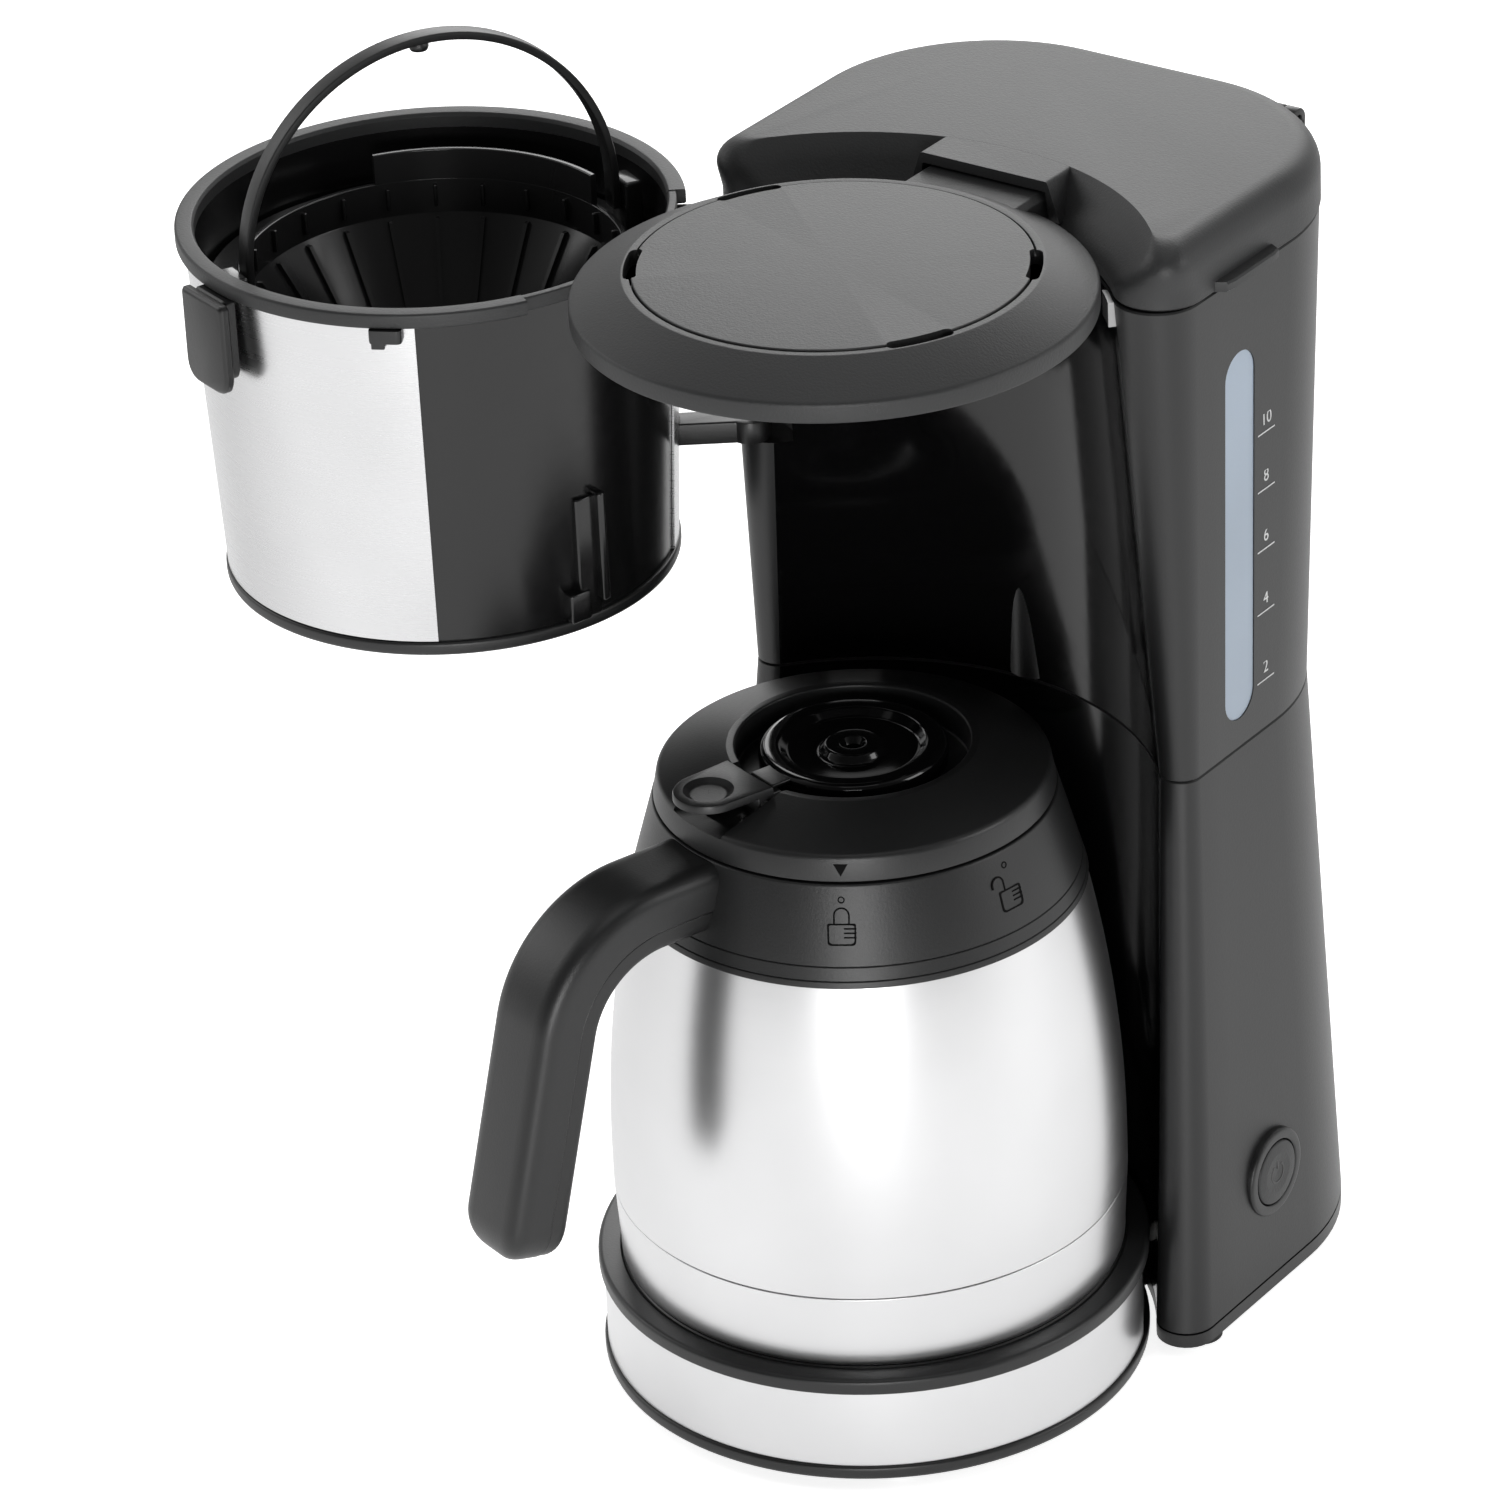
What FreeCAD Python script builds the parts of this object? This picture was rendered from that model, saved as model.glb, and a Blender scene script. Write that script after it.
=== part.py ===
import FreeCAD, Part
import math
import os
import Sketcher

# Drip coffee maker with a thermal carafe and a swing-out filter.
# Millimetres, +Z up. The origin is the brew axis on the resting plane, the front faces -Y.

SIZES = [
    # Stance and base
    ("foot_height", 3.8, "resting plane to bottom cover"),
    ("foot_ring_outer", 60.0, "rubber foot ring, outer radius"),
    ("foot_ring_inner", 52.0, "rubber foot ring, inner radius"),
    ("tower_foot_radius", 6.5, "rubber pads under the tower"),
    ("tower_foot_side", 74.7, "front pads, distance from the middle plane"),
    ("rear_foot_side", 46.3, "rear pads, distance from the middle plane"),
    ("tower_foot_front", 50.0, "front pads, distance behind the brew axis"),
    ("tower_foot_rear", 134.0, "rear pads, distance behind the brew axis"),
    ("base_radius", 76.2, "bead of the bottom cover"),
    ("bead_height", 4.2, "height of the cover's edge bead"),
    ("cover_plate", 2.5, "thickness of the bottom cover"),
    ("cover_rim", 3.0, "width of the cover's raised edge"),
    ("band_radius", 75.3, "outside of the steel base band"),
    ("band_sheet", 0.6, "steel base band sheet"),
    ("band_span", 228.0, "angle that the steel base band covers"),
    ("band_top", 31.5, "top edge of the base band"),
    ("drum_wall", 2.4, "base drum wall"),
    ("seat_gap", 0.1, "gap between a skin and the wall behind it"),
    ("stand_radius", 76.6, "carafe stand, outer radius"),
    ("stand_top", 36.0, "carafe stand, top plane"),
    ("stand_plate", 3.0, "carafe stand, plate thickness"),
    ("stand_edge", 0.8, "bevel of the stand's edge"),
    # Tower outline at its three levels
    ("low_half", 83.2, "tower half width at the foot"),
    ("low_rear", 155.0, "tower rear at the foot"),
    ("low_round", 60.0, "rear corner radius at the foot"),
    ("low_hollow", 78.0, "hollow front radius at the foot"),
    ("low_nose", 8.5, "front corner radius at the foot"),
    ("waist_height", 172.0, "parting line between housings"),
    ("waist_half", 72.5, "tower half width at the waist"),
    ("waist_rear", 153.0, "tower rear at the waist"),
    ("waist_round", 56.0, "rear corner radius at the waist"),
    ("waist_hollow", 82.5, "hollow front radius at the waist"),
    ("waist_nose", 6.0, "front corner radius at the waist"),
    ("tower_top", 313.0, "top edge of the tank"),
    ("top_half", 74.6, "tower half width at the top"),
    ("top_rear", 155.2, "tower rear at the top"),
    ("top_round", 52.0, "rear corner radius at the top"),
    ("top_hollow", 72.7, "hollow front radius at the top"),
    ("top_nose", 12.0, "front corner radius at the top"),
    ("tower_wall", 2.4, "tower wall"),
    ("tank_floor", 3.0, "tank floor thickness"),
    # Tank lid
    ("lid_gap", 0.4, "gap between tank and lid"),
    ("lid_overhang", 0.4, "lid beyond the tank wall"),
    ("lid_shoulder", 324.0, "top of the lid's upright rim"),
    ("lid_bend", 328.5, "middle of the lid's rounded shoulder"),
    ("lid_bend_inset", 2.5, "inset at the middle of the shoulder"),
    ("lid_top", 331.0, "top of the tank lid"),
    ("lid_top_half", 67.4, "half width of the lid's flat top"),
    ("lid_top_rear", 148.0, "rear of the lid's flat top"),
    ("lid_top_round", 46.0, "rear corner radius of the flat top"),
    ("lid_top_hollow", 83.5, "hollow front radius of the flat top"),
    ("lid_top_nose", 3.5, "front corner radius of the flat top"),
    ("lid_facet_low", 317.0, "lower edge of the lid's front facet"),
    ("lid_wall", 2.2, "tank lid wall"),
    ("arch_front", 69.5, "front of the arch over the neck"),
    ("arch_half_low", 24.0, "arch half width at its foot"),
    ("arch_half_top", 18.0, "arch half width at its crown"),
    ("arch_ridge", 84.0, "rear of the arch roof"),
    ("tab_front", 66.0, "front end of the lid's thumb tab"),
    ("tab_rear", 93.0, "rear end of the lid's thumb tab"),
    ("tab_reach", 78.6, "outer face of the thumb tab"),
    ("tab_thick", 2.8, "thickness of the thumb tab"),
    ("lid_axis_rear", 159.6, "lid hinge axis, distance behind the brew axis"),
    ("lid_axis_height", 319.4, "lid hinge axis, height"),
    ("lid_ear_inner", 38.0, "tank ear, inner face"),
    ("lid_ear_width", 4.4, "tank ear, width"),
    ("lid_knuckle_inner", 30.0, "lid knuckle, inner face"),
    ("lid_pin_radius", 1.8, "lid hinge pin"),
    ("lid_eye_radius", 3.6, "lid hinge ear and knuckle"),
    # Brew head
    ("head_radius", 69.0, "brew head disc"),
    ("head_low", 317.5, "lower edge of the disc"),
    ("head_lip", 323.0, "top of the upright lip"),
    ("head_shoulder", 55.0, "radius where the slope meets the flat"),
    ("head_top", 330.0, "flat ring of the disc"),
    ("head_wall", 2.2, "brew head wall"),
    ("panel_radius", 52.4, "centre panel"),
    ("panel_seat", 1.8, "depth of the panel's seat"),
    ("panel_proud", 0.4, "panel above the flat ring"),
    ("panel_groove", 0.5, "groove round the panel"),
    ("slot_inner", 50.8, "vent slot, inner radius"),
    ("slot_outer", 54.6, "vent slot, outer radius"),
    ("slot_span", 18.0, "vent slot, angle"),
    ("slot_side", 60.0, "vent slots, angle from the front to rear line"),
    ("neck_half", 19.0, "neck, half width"),
    ("neck_rear", 98.0, "rear end of the neck"),
    ("neck_top", 327.2, "top of the neck"),
    ("shower_radius", 65.8, "shower plate"),
    ("shower_low", 318.4, "shower plate underside"),
    ("shower_plate", 1.2, "shower plate thickness"),
    ("shower_hole", 1.6, "shower holes"),
    ("shower_holes", 12.0, "number of shower holes"),
    ("shower_circle", 34.0, "outer circle of shower holes"),
    ("shower_inner", 20.4, "inner circle of shower holes"),
    # Water path
    ("riser_rear", 88.0, "riser, distance behind the brew axis"),
    ("riser_radius", 2.4, "riser tube, outside"),
    ("riser_bore", 1.8, "riser tube, inside"),
    ("column_radius", 7.5, "riser column in the tank"),
    ("column_bore", 4.6, "bore of the riser column"),
    ("hose_radius", 4.5, "inlet hose, outside"),
    ("hose_bore", 3.0, "inlet hose, inside"),
    ("bend_radius", 11.0, "bends of hose and riser"),
    ("spout_bend", 6.0, "last bend of the riser"),
    ("rise_height", 65.2, "height where the hoses leave the base"),
    ("outlet_side", 32.0, "tank outlet, left of the brew axis"),
    ("outlet_rear", 104.0, "tank outlet, behind the brew axis"),
    ("heater_outer", 52.0, "flow heater, outer radius"),
    ("heater_inner", 38.0, "flow heater, inner radius"),
    ("heater_low", 9.3, "flow heater underside"),
    ("heater_height", 14.0, "flow heater height"),
    ("spigot_length", 12.0, "flow heater pipe ends"),
    ("hose_port", 7.0, "ports for the hoses in drum and housing"),
    ("sensor_radius", 8.0, "thermostat"),
    ("sensor_height", 5.0, "thermostat height"),
    ("fuse_radius", 2.4, "thermal fuse"),
    ("fuse_length", 16.0, "thermal fuse length"),
    ("valve_cap_radius", 7.0, "check valve cage"),
    ("valve_cap_height", 9.0, "check valve cage height"),
    # Water window
    ("window_front", 71.0, "water window, front edge"),
    ("window_width", 14.5, "water window, width"),
    ("window_low", 181.0, "water window, lower end"),
    ("window_high", 291.0, "water window, upper end"),
    # Button, switch and cord gland
    ("button_rear", 79.0, "button, distance behind the brew axis"),
    ("button_height", 39.7, "button, height"),
    ("bezel_radius", 13.0, "button bezel"),
    ("bezel_bore", 9.8, "button bezel, bore"),
    ("bezel_face", 82.6, "outer face of the bezel"),
    ("bezel_back", 73.0, "inner face of the bezel"),
    ("button_radius", 9.5, "power button"),
    ("button_face", 83.0, "outer face of the power button"),
    ("button_depth", 6.4, "power button, depth"),
    ("switch_size", 17.0, "switch block, height and width"),
    ("switch_depth", 15.0, "switch block, depth"),
    ("gland_radius", 6.0, "cord gland in the wall"),
    ("gland_flange", 8.5, "cord gland flange"),
    ("gland_bore", 3.4, "cord gland, bore"),
    ("gland_height", 24.0, "cord gland, height"),
    ("gland_reach", 5.0, "cord gland behind the wall"),
    # Screws
    ("screw_radius", 1.5, "housing screw"),
    ("screw_head", 3.2, "housing screw head"),
    ("screw_head_height", 2.0, "housing screw head height"),
    ("screw_reach", 10.0, "housing screw above the cover"),
    ("boss_radius", 4.2, "screw boss"),
    ("boss_height", 13.0, "screw boss height"),
    ("drum_screw_circle", 68.8, "screws into the base drum"),
    ("drum_screw_turn", 40.0, "drum screws, angle either side of the front"),
    ("tower_screw_inset", 6.0, "tower screws inside the side"),
    ("tower_screw_rear", 84.0, "tower screws behind the brew axis"),
    # Filter hinge
    ("hinge_side", 66.5, "filter hinge, left of the brew axis"),
    ("hinge_rear", 50.0, "filter hinge, behind the brew axis"),
    ("hinge_pin", 2.0, "filter hinge pins"),
    ("pin_play", 0.06, "running clearance of pins"),
    ("hinge_eye", 5.5, "filter hinge eyes"),
    ("hinge_recess", 12.0, "recess round the hinge"),
    ("hinge_ledge", 243.0, "ledge under the lower eye"),
    ("hinge_anchor", 11.0, "lower pin in the ledge"),
    ("hinge_gap", 0.4, "gap above and below the eyes"),
    ("arm_height", 6.6, "hinge arms, height"),
    ("arm_half", 4.0, "hinge arms, half width"),
    ("arm_rim_gap", 0.2, "upper hinge arm under the bucket rim"),
    ("lug_half", 3.3, "web of the upper hinge lug, half width"),
    ("upper_lug_low", 297.0, "upper hinge lug, underside"),
    # Filter bucket
    ("bucket_floor", 216.8, "bucket floor, underside"),
    ("bucket_floor_thick", 2.4, "bucket floor"),
    ("bucket_low_radius", 61.6, "bucket wall at the floor"),
    ("bucket_top_radius", 66.0, "bucket wall at the rim"),
    ("bucket_wall", 2.2, "bucket wall"),
    ("bucket_top", 312.4, "underside of the bucket rim"),
    ("rim_radius", 69.0, "bucket rim, outside"),
    ("rim_top", 316.6, "bucket rim, top"),
    ("rim_lip", 66.4, "thin lip of the rim"),
    ("rim_span", 289.5, "angle that the thick rim covers"),
    ("rim_centre", 290.8, "middle of the thick rim, filter closed"),
    ("wrap_sheet", 0.6, "steel wrap sheet"),
    ("wrap_span", 279.6, "angle that the steel wrap covers"),
    ("wrap_lap", 12.56, "angle that the wrap reaches past the hinge arms"),
    ("wrap_gap", 0.3, "gap at the edges of the wrap"),
    ("base_ring_radius", 62.8, "bead under the bucket"),
    ("base_ring_inner", 57.0, "inside of that bead"),
    ("base_ring_low", 212.8, "underside of that bead"),
    ("ledge_radius", 60.4, "ledge that carries the insert"),
    ("ledge_top", 295.6, "top of that ledge"),
    ("ledge_thick", 2.4, "thickness of that ledge"),
    ("grip_centre", 357.6, "swing grip, filter closed"),
    ("grip_half", 10.5, "swing grip, half width"),
    ("grip_low", 285.6, "swing grip, lower end"),
    ("grip_reach", 74.0, "swing grip, outer face"),
    ("grip_thick", 2.6, "swing grip, plate"),
    ("catch_angle", 44.0, "rim catch, filter closed"),
    ("catch_half", 4.0, "rim catch, half width"),
    ("catch_reach", 70.8, "rim catch, outer face"),
    ("catch_low", 306.0, "rim catch, lower end"),
    ("clip_reach", 71.3, "catch clip, inner face"),
    ("clip_height", 7.0, "catch clip, height"),
    ("rib_half", 4.2, "rear rib of the bucket, half width"),
    ("rib_top", 254.0, "rear rib of the bucket, top"),
    ("rib_reach", 64.6, "rear rib of the bucket, outer face"),
    ("nose_radius", 9.5, "outlet nose, outside"),
    ("nose_bore", 6.0, "outlet nose, bore"),
    ("nose_low", 197.0, "outlet nose, lower end"),
    # Drip stop
    ("stem_radius", 5.6, "drip stop stem"),
    ("stem_low", 194.6, "drip stop stem, lower end"),
    ("drip_head", 8.6, "drip stop head"),
    ("drip_seal_thick", 0.8, "drip stop seal"),
    ("drip_head_thick", 2.0, "drip stop head thickness"),
    ("drip_spring_outer", 4.6, "drip stop spring, outside"),
    ("drip_spring_wire", 0.9, "drip stop spring, wall"),
    # Filter insert and bail
    ("insert_floor", 229.0, "insert floor, underside"),
    ("insert_floor_radius", 12.0, "insert floor"),
    ("insert_hole", 4.0, "insert outlet"),
    ("insert_wall", 1.8, "insert wall"),
    ("insert_cone_top", 282.0, "top of the insert's cone"),
    ("insert_cone_radius", 50.0, "radius at the top of the cone"),
    ("insert_radius", 53.0, "insert's upper wall, outside"),
    ("insert_flange", 62.0, "insert flange"),
    ("insert_flange_thick", 2.4, "insert flange thickness"),
    ("insert_ribs", 24.0, "ribs inside the insert"),
    ("insert_rib_half", 0.6, "half width of those ribs"),
    ("insert_rib_depth", 2.2, "depth of those ribs"),
    ("bail_angle", 169.1, "bail axis, filter closed"),
    ("bail_axis", 306.5, "bail axis height"),
    ("bail_radius", 54.4, "bail, middle of the strap"),
    ("bail_strap", 2.4, "bail strap thickness"),
    ("bail_width", 5.6, "bail strap width"),
    ("bail_top", 367.0, "top of the raised bail"),
    ("bail_pin", 2.0, "bail pins"),
    ("bail_pin_reach", 60.0, "outer end of the bail pins"),
    ("bail_block_half", 5.0, "half width of the bail blocks"),
    ("bail_block_reach", 61.4, "outer face of the bail blocks"),
    ("bail_play", 0.4, "gap between bail and blocks"),
    # Carafe
    ("carafe_low", 36.3, "carafe underside"),
    ("carafe_low_radius", 66.0, "flat underside of the carafe"),
    ("carafe_corner", 4.0, "corner round the carafe's underside"),
    ("carafe_cup_radius", 70.0, "base cup above its corner"),
    ("carafe_radius", 71.0, "carafe at its seam"),
    ("carafe_seam", 58.5, "seam between cup and shell"),
    ("carafe_bulge", 68.0, "height where the shell starts to draw in"),
    ("carafe_shell_top", 149.5, "top of the steel shell"),
    ("carafe_shell_radius", 61.5, "radius at the top of the shell"),
    ("carafe_curve", 353.0, "curve radius of the shell"),
    ("carafe_sheet", 0.8, "carafe steel sheet"),
    ("collar_low_radius", 62.3, "collar, lower edge"),
    ("collar_top_radius", 54.6, "collar, upper edge"),
    ("collar_top", 176.7, "collar, top"),
    ("collar_bore", 46.4, "collar, bore"),
    ("collar_skirt", 58.6, "collar, inside of the lower edge"),
    ("liner_floor", 44.0, "liner floor, underside"),
    ("liner_radius", 64.0, "liner body"),
    ("liner_shoulder", 128.0, "liner shoulder"),
    ("liner_neck", 46.0, "liner neck, outside"),
    ("liner_neck_low", 152.0, "start of the liner neck"),
    ("liner_top", 172.0, "top of the liner"),
    ("handle_angle", 252.0, "direction of handle and lever"),
    ("handle_half", 12.5, "handle, half width"),
    ("handle_root", 167.3, "handle centre at its root"),
    ("handle_straight", 76.0, "end of the straight root"),
    ("handle_bend", 28.0, "bend of the handle's centre line"),
    ("handle_lean", 13.9, "lean of the grip from the vertical"),
    ("handle_low", 78.5, "lower end of the centre line"),
    ("handle_thick", 18.4, "handle thickness"),
    ("handle_split", 6.0, "thickness of the inner half"),
    ("handle_round", 5.0, "corner radius of the handle"),
    ("handle_inset", 0.5, "inner half narrower than the outer"),
    # Carafe lid
    ("cap_gap", 0.6, "gap between collar and lid"),
    ("cap_low_radius", 54.3, "carafe lid, lower edge"),
    ("cap_skirt_radius", 53.0, "carafe lid, top of its skirt"),
    ("cap_skirt_top", 184.3, "carafe lid, skirt"),
    ("cap_top", 190.5, "carafe lid, rim of the well"),
    ("well_rim", 34.0, "rim of the well, outside"),
    ("well_radius", 31.6, "well, inside"),
    ("well_floor", 182.4, "well floor, top"),
    ("cap_wall", 2.2, "carafe lid wall"),
    ("well_hole", 8.0, "hole in the well floor"),
    ("plug_radius", 44.4, "lid plug"),
    ("plug_low", 160.0, "lid plug, lower end"),
    ("plug_wall", 2.2, "lid plug wall"),
    ("gasket_low", 163.0, "lid gasket, underside"),
    ("gasket_height", 3.0, "lid gasket, height"),
    ("gasket_radius", 44.9, "lid gasket, outside"),
    ("puck_radius", 25.5, "pour puck"),
    ("puck_low", 184.2, "pour puck, underside"),
    ("puck_top", 190.2, "pour puck, top"),
    ("puck_stem", 4.0, "pour puck, stem"),
    ("puck_stem_low", 168.0, "pour puck, stem end"),
    ("puck_hole", 2.2, "brew hole in the puck"),
    ("puck_dish", 12.0, "dish in the puck"),
    ("puck_dish_depth", 1.4, "depth of that dish"),
    ("puck_ear", 30.6, "ear of the puck, reach"),
    ("puck_ear_half", 5.0, "ear of the puck, half width"),
    ("puck_ear_thick", 1.8, "ear of the puck, thickness"),
    ("puck_seal_inner", 9.0, "puck seal, inside"),
    ("puck_seal_outer", 12.5, "puck seal, outside"),
    ("lever_axis", 36.4, "lever axis, radius"),
    ("lever_axis_height", 187.4, "lever axis, height"),
    ("lever_pin_radius", 1.5, "lever pin"),
    ("lever_half", 9.6, "lever, half width and pad radius"),
    ("lever_pad", 50.0, "pad centre, radius"),
    ("lever_rise", 1.4, "lever plate above the lever axis"),
    ("lever_thick", 3.8, "lever plate, thickness"),
    ("lever_tip", 28.4, "lever tip, radius"),
    ("lever_tip_half", 6.0, "lever tip, half width"),
    ("lever_tip_drop", 1.8, "lever tip below the lever axis"),
    ("lever_tip_thick", 2.4, "lever tip, thickness"),
    ("lever_slot_half", 10.6, "slot for the lever, half width"),
    ("lever_slot_drop", 4.0, "bottom of the lever slot below the lever axis"),
    ("lever_slot_end", 53.4, "slot for the lever, outer end"),
    ("cheek_width", 2.4, "cheeks beside the lever"),
    ("cheek_low", 180.6, "cheeks beside the lever, bottom"),
    ("cheek_drop", 4.0, "least reach of the cheeks below the lever axis"),
    ("clearance", 0.3, "general gap between moving pieces"),
]

V = FreeCAD.Vector
UP = V(0, 0, 1)
doc = FreeCAD.newDocument("coffee_maker")
sheet = doc.addObject("Spreadsheet::Sheet", "Sizes")
for row, (alias, number, meaning) in enumerate(SIZES, 1):
    sheet.set("A%d" % row, meaning)
    sheet.set("B%d" % row, str(number))
    sheet.setAlias("B%d" % row, alias)
doc.recompute()


class Dim:
    """A size and the spreadsheet expression that gives it."""

    def __init__(self, text, value):
        self.text = text
        self.value = float(value)

    def __add__(self, other):
        other = dim(other)
        return Dim("(%s + %s)" % (self.text, other.text), self.value + other.value)

    def __sub__(self, other):
        other = dim(other)
        return Dim("(%s - %s)" % (self.text, other.text), self.value - other.value)

    def __mul__(self, other):
        other = dim(other)
        return Dim("(%s * %s)" % (self.text, other.text), self.value * other.value)

    def __truediv__(self, other):
        other = dim(other)
        return Dim("(%s / %s)" % (self.text, other.text), self.value / other.value)

    def __neg__(self):
        return Dim("(-1 * %s)" % self.text, -self.value)

    __radd__ = __add__
    __rmul__ = __mul__

    def __rsub__(self, other):
        return dim(other) - self

    def __float__(self):
        return self.value


def dim(value):
    """Take a number or a Dim and give a Dim."""
    return value if isinstance(value, Dim) else Dim("%.6g" % value, value)


def lesser(one, two):
    """The smaller of two sizes."""
    one, two = dim(one), dim(two)
    return Dim("min(%s; %s)" % (one.text, two.text), min(one.value, two.value))


class Sizes:
    """The spreadsheet's sizes by alias."""

    def __getattr__(self, alias):
        return Dim("Sizes.%s" % alias, sheet.get(alias))


s = Sizes()
NODES = []


def node(label, obj, placement=None):
    """Name a finished piece and list it for export."""
    obj.Label = label
    if placement is not None:
        obj.Placement = placement
    NODES.append(obj)
    return obj


def bind(obj, prop, size):
    """Drive one property from the spreadsheet."""
    obj.setExpression(prop, dim(size).text)


def place(obj, x, y, z, rotation=None):
    """Put a primitive at a bound position."""
    spot = V(dim(x).value, dim(y).value, dim(z).value)
    obj.Placement = FreeCAD.Placement(spot, rotation or FreeCAD.Rotation())
    for axis, size in zip("xyz", (x, y, z)):
        if isinstance(size, Dim):
            bind(obj, "Placement.Base.%s" % axis, size)
    return obj


def rod(name, radius, length, x=0, y=0, z=0, along="Z"):
    """Cylinder from a point along +X, +Y or +Z."""
    obj = doc.addObject("Part::Cylinder", name)
    bind(obj, "Radius", radius)
    bind(obj, "Height", length)
    turns = {
        "X": FreeCAD.Rotation(V(0, 1, 0), 90),
        "Y": FreeCAD.Rotation(V(1, 0, 0), -90),
        "Z": FreeCAD.Rotation(),
    }
    return place(obj, x, y, z, turns[along])


def block(name, x, y, z):
    """Box between pairs of bound coordinates."""
    obj = doc.addObject("Part::Box", name)
    for prop, pair in zip(("Length", "Width", "Height"), (x, y, z)):
        bind(obj, prop, dim(pair[1]) - dim(pair[0]))
    return place(obj, x[0], y[0], z[0])


def fuse(name, *objs):
    """Union of pieces."""
    obj = doc.addObject("Part::MultiFuse", name)
    obj.Shapes = list(objs)
    return obj


def cut(name, base, *tools):
    """Piece less its tools."""
    obj = doc.addObject("Part::Cut", name)
    obj.Base = base
    obj.Tool = tools[0] if len(tools) == 1 else fuse(name + "_tools", *tools)
    return obj


def shared(name, *objs):
    """What the pieces have in common."""
    obj = doc.addObject("Part::MultiCommon", name)
    obj.Shapes = list(objs)
    return obj


def ring(name, outer, inner, low, height):
    """Flat ring round the brew axis."""
    solid = rod(name + "_blank", outer, height, z=low)
    return cut(name, solid, rod(name + "_bore", inner, height, z=low))


def shaped(name, shape):
    """Piece with a shape of its own."""
    obj = doc.addObject("Part::Feature", name)
    obj.Shape = shape
    return obj


def plane_of(body, role):
    """One of a body's origin planes."""
    return next(f for f in body.Origin.OriginFeatures if f.Role == role)


def outline(sketch, path):
    """Closed sketch of lines, or arcs where a vertex gives a radius, tied to the sheet."""
    count = len(path)
    spots = [V(dim(p[0]).value, dim(p[1]).value, 0) for p in path]
    first, last = [], []
    for i, vertex in enumerate(path):
        a, b = spots[i], spots[(i + 1) % count]
        if len(vertex) == 2:
            sketch.addGeometry(Part.LineSegment(a, b))
            first.append(1)
            last.append(2)
            continue
        bulge = dim(vertex[2]).value
        half = (b - a).Length / 2
        side = V(-(b - a).y, (b - a).x, 0)
        side.normalize()
        rise = math.sqrt(bulge * bulge - half * half)
        centre = (a + b) / 2 + side * math.copysign(rise, bulge)
        ends = (a, b) if bulge > 0 else (b, a)
        angles = [math.atan2(p.y - centre.y, p.x - centre.x) for p in ends]
        if angles[1] < angles[0]:
            angles[1] += 2 * math.pi
        circle = Part.Circle(centre, UP, abs(bulge))
        sketch.addGeometry(Part.ArcOfCircle(circle, angles[0], angles[1]))
        first.append(1 if bulge > 0 else 2)
        last.append(2 if bulge > 0 else 1)
    for i in range(count):
        after = (i + 1) % count
        sketch.addConstraint(Sketcher.Constraint("Coincident", i, last[i], after, first[after]))
    for i, vertex in enumerate(path):
        for kind, axis, size in (("DistanceX", -2, vertex[0]), ("DistanceY", -1, vertex[1])):
            if dim(size).value == 0:
                sketch.addConstraint(Sketcher.Constraint("PointOnObject", i, first[i], axis))
                continue
            datum = Sketcher.Constraint(kind, -1, 1, i, first[i], dim(size).value)
            name = "%s_%d" % ("across" if axis == -2 else "height", i)
            tie(sketch, datum, name, size)
        if len(vertex) == 3:
            radius = dim(vertex[2])
            if radius.value < 0:
                radius = -radius
            tie(sketch, Sketcher.Constraint("Radius", i, radius.value), "radius_%d" % i, radius)


def tie(sketch, datum, name, size):
    """Add a named dimension and drive it from the sheet."""
    index = sketch.addConstraint(datum)
    sketch.renameConstraint(index, name)
    if isinstance(size, Dim):
        sketch.setExpression("Constraints.%s" % name, size.text)


def turned(name, path, span=None):
    """Body turned about the brew axis from (radius, height) vertices."""
    body = doc.addObject("PartDesign::Body", name)
    sketch = body.newObject("Sketcher::SketchObject", name + "_profile")
    sketch.AttachmentSupport = [(plane_of(body, "XZ_Plane"), "")]
    sketch.MapMode = "FlatFace"
    outline(sketch, path)
    turn = body.newObject("PartDesign::Revolution", name + "_turn")
    turn.Profile = sketch
    turn.ReferenceAxis = (sketch, ["V_Axis"])
    if span is None:
        turn.Angle = 360
    else:
        turn.Midplane = True
        bind(turn, "Angle", span)
    return body


def about_axis(angle):
    """Placement turned about the brew axis, in degrees."""
    return FreeCAD.Placement(V(0, 0, 0), FreeCAD.Rotation(UP, float(angle)))


# The filter is drawn closed, then swung open about its hinge to the rest pose
HINGE = V(-s.hinge_side.value, s.hinge_rear.value, 0)
SWING = 2 * math.degrees(math.atan2(s.hinge_side.value, s.hinge_rear.value))
OPEN = FreeCAD.Placement(V(0, 0, 0), FreeCAD.Rotation(UP, -SWING), HINGE)


def opened(angle=0):
    """Placement of a filter piece that is drawn along +X and belongs at an angle when closed."""
    return OPEN.multiply(about_axis(angle))


# Base
bead_top = s.foot_height + s.bead_height
plate_top = s.foot_height + s.cover_plate
drum_outer = s.band_radius - s.band_sheet - s.seat_gap
drum_inner = drum_outer - s.drum_wall

LEVELS = {
    "low": (s.low_half, s.low_rear, s.low_round, s.low_hollow, s.low_nose),
    "waist": (s.waist_half, s.waist_rear, s.waist_round, s.waist_hollow, s.waist_nose),
    "top": (s.top_half, s.top_rear, s.top_round, s.top_hollow, s.top_nose),
}


def tower_sizes(height):
    """Outline sizes of the tower at a height, straight between its levels."""
    low, waist, top = bead_top.value, s.waist_height.value, s.tower_top.value
    names = ("low", "waist", low, waist) if height <= waist else ("waist", "top", waist, top)
    share = (height - names[2]) / (names[3] - names[2])
    pairs = zip(LEVELS[names[0]], LEVELS[names[1]])
    return [a.value + (b.value - a.value) * share for a, b in pairs]


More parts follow.
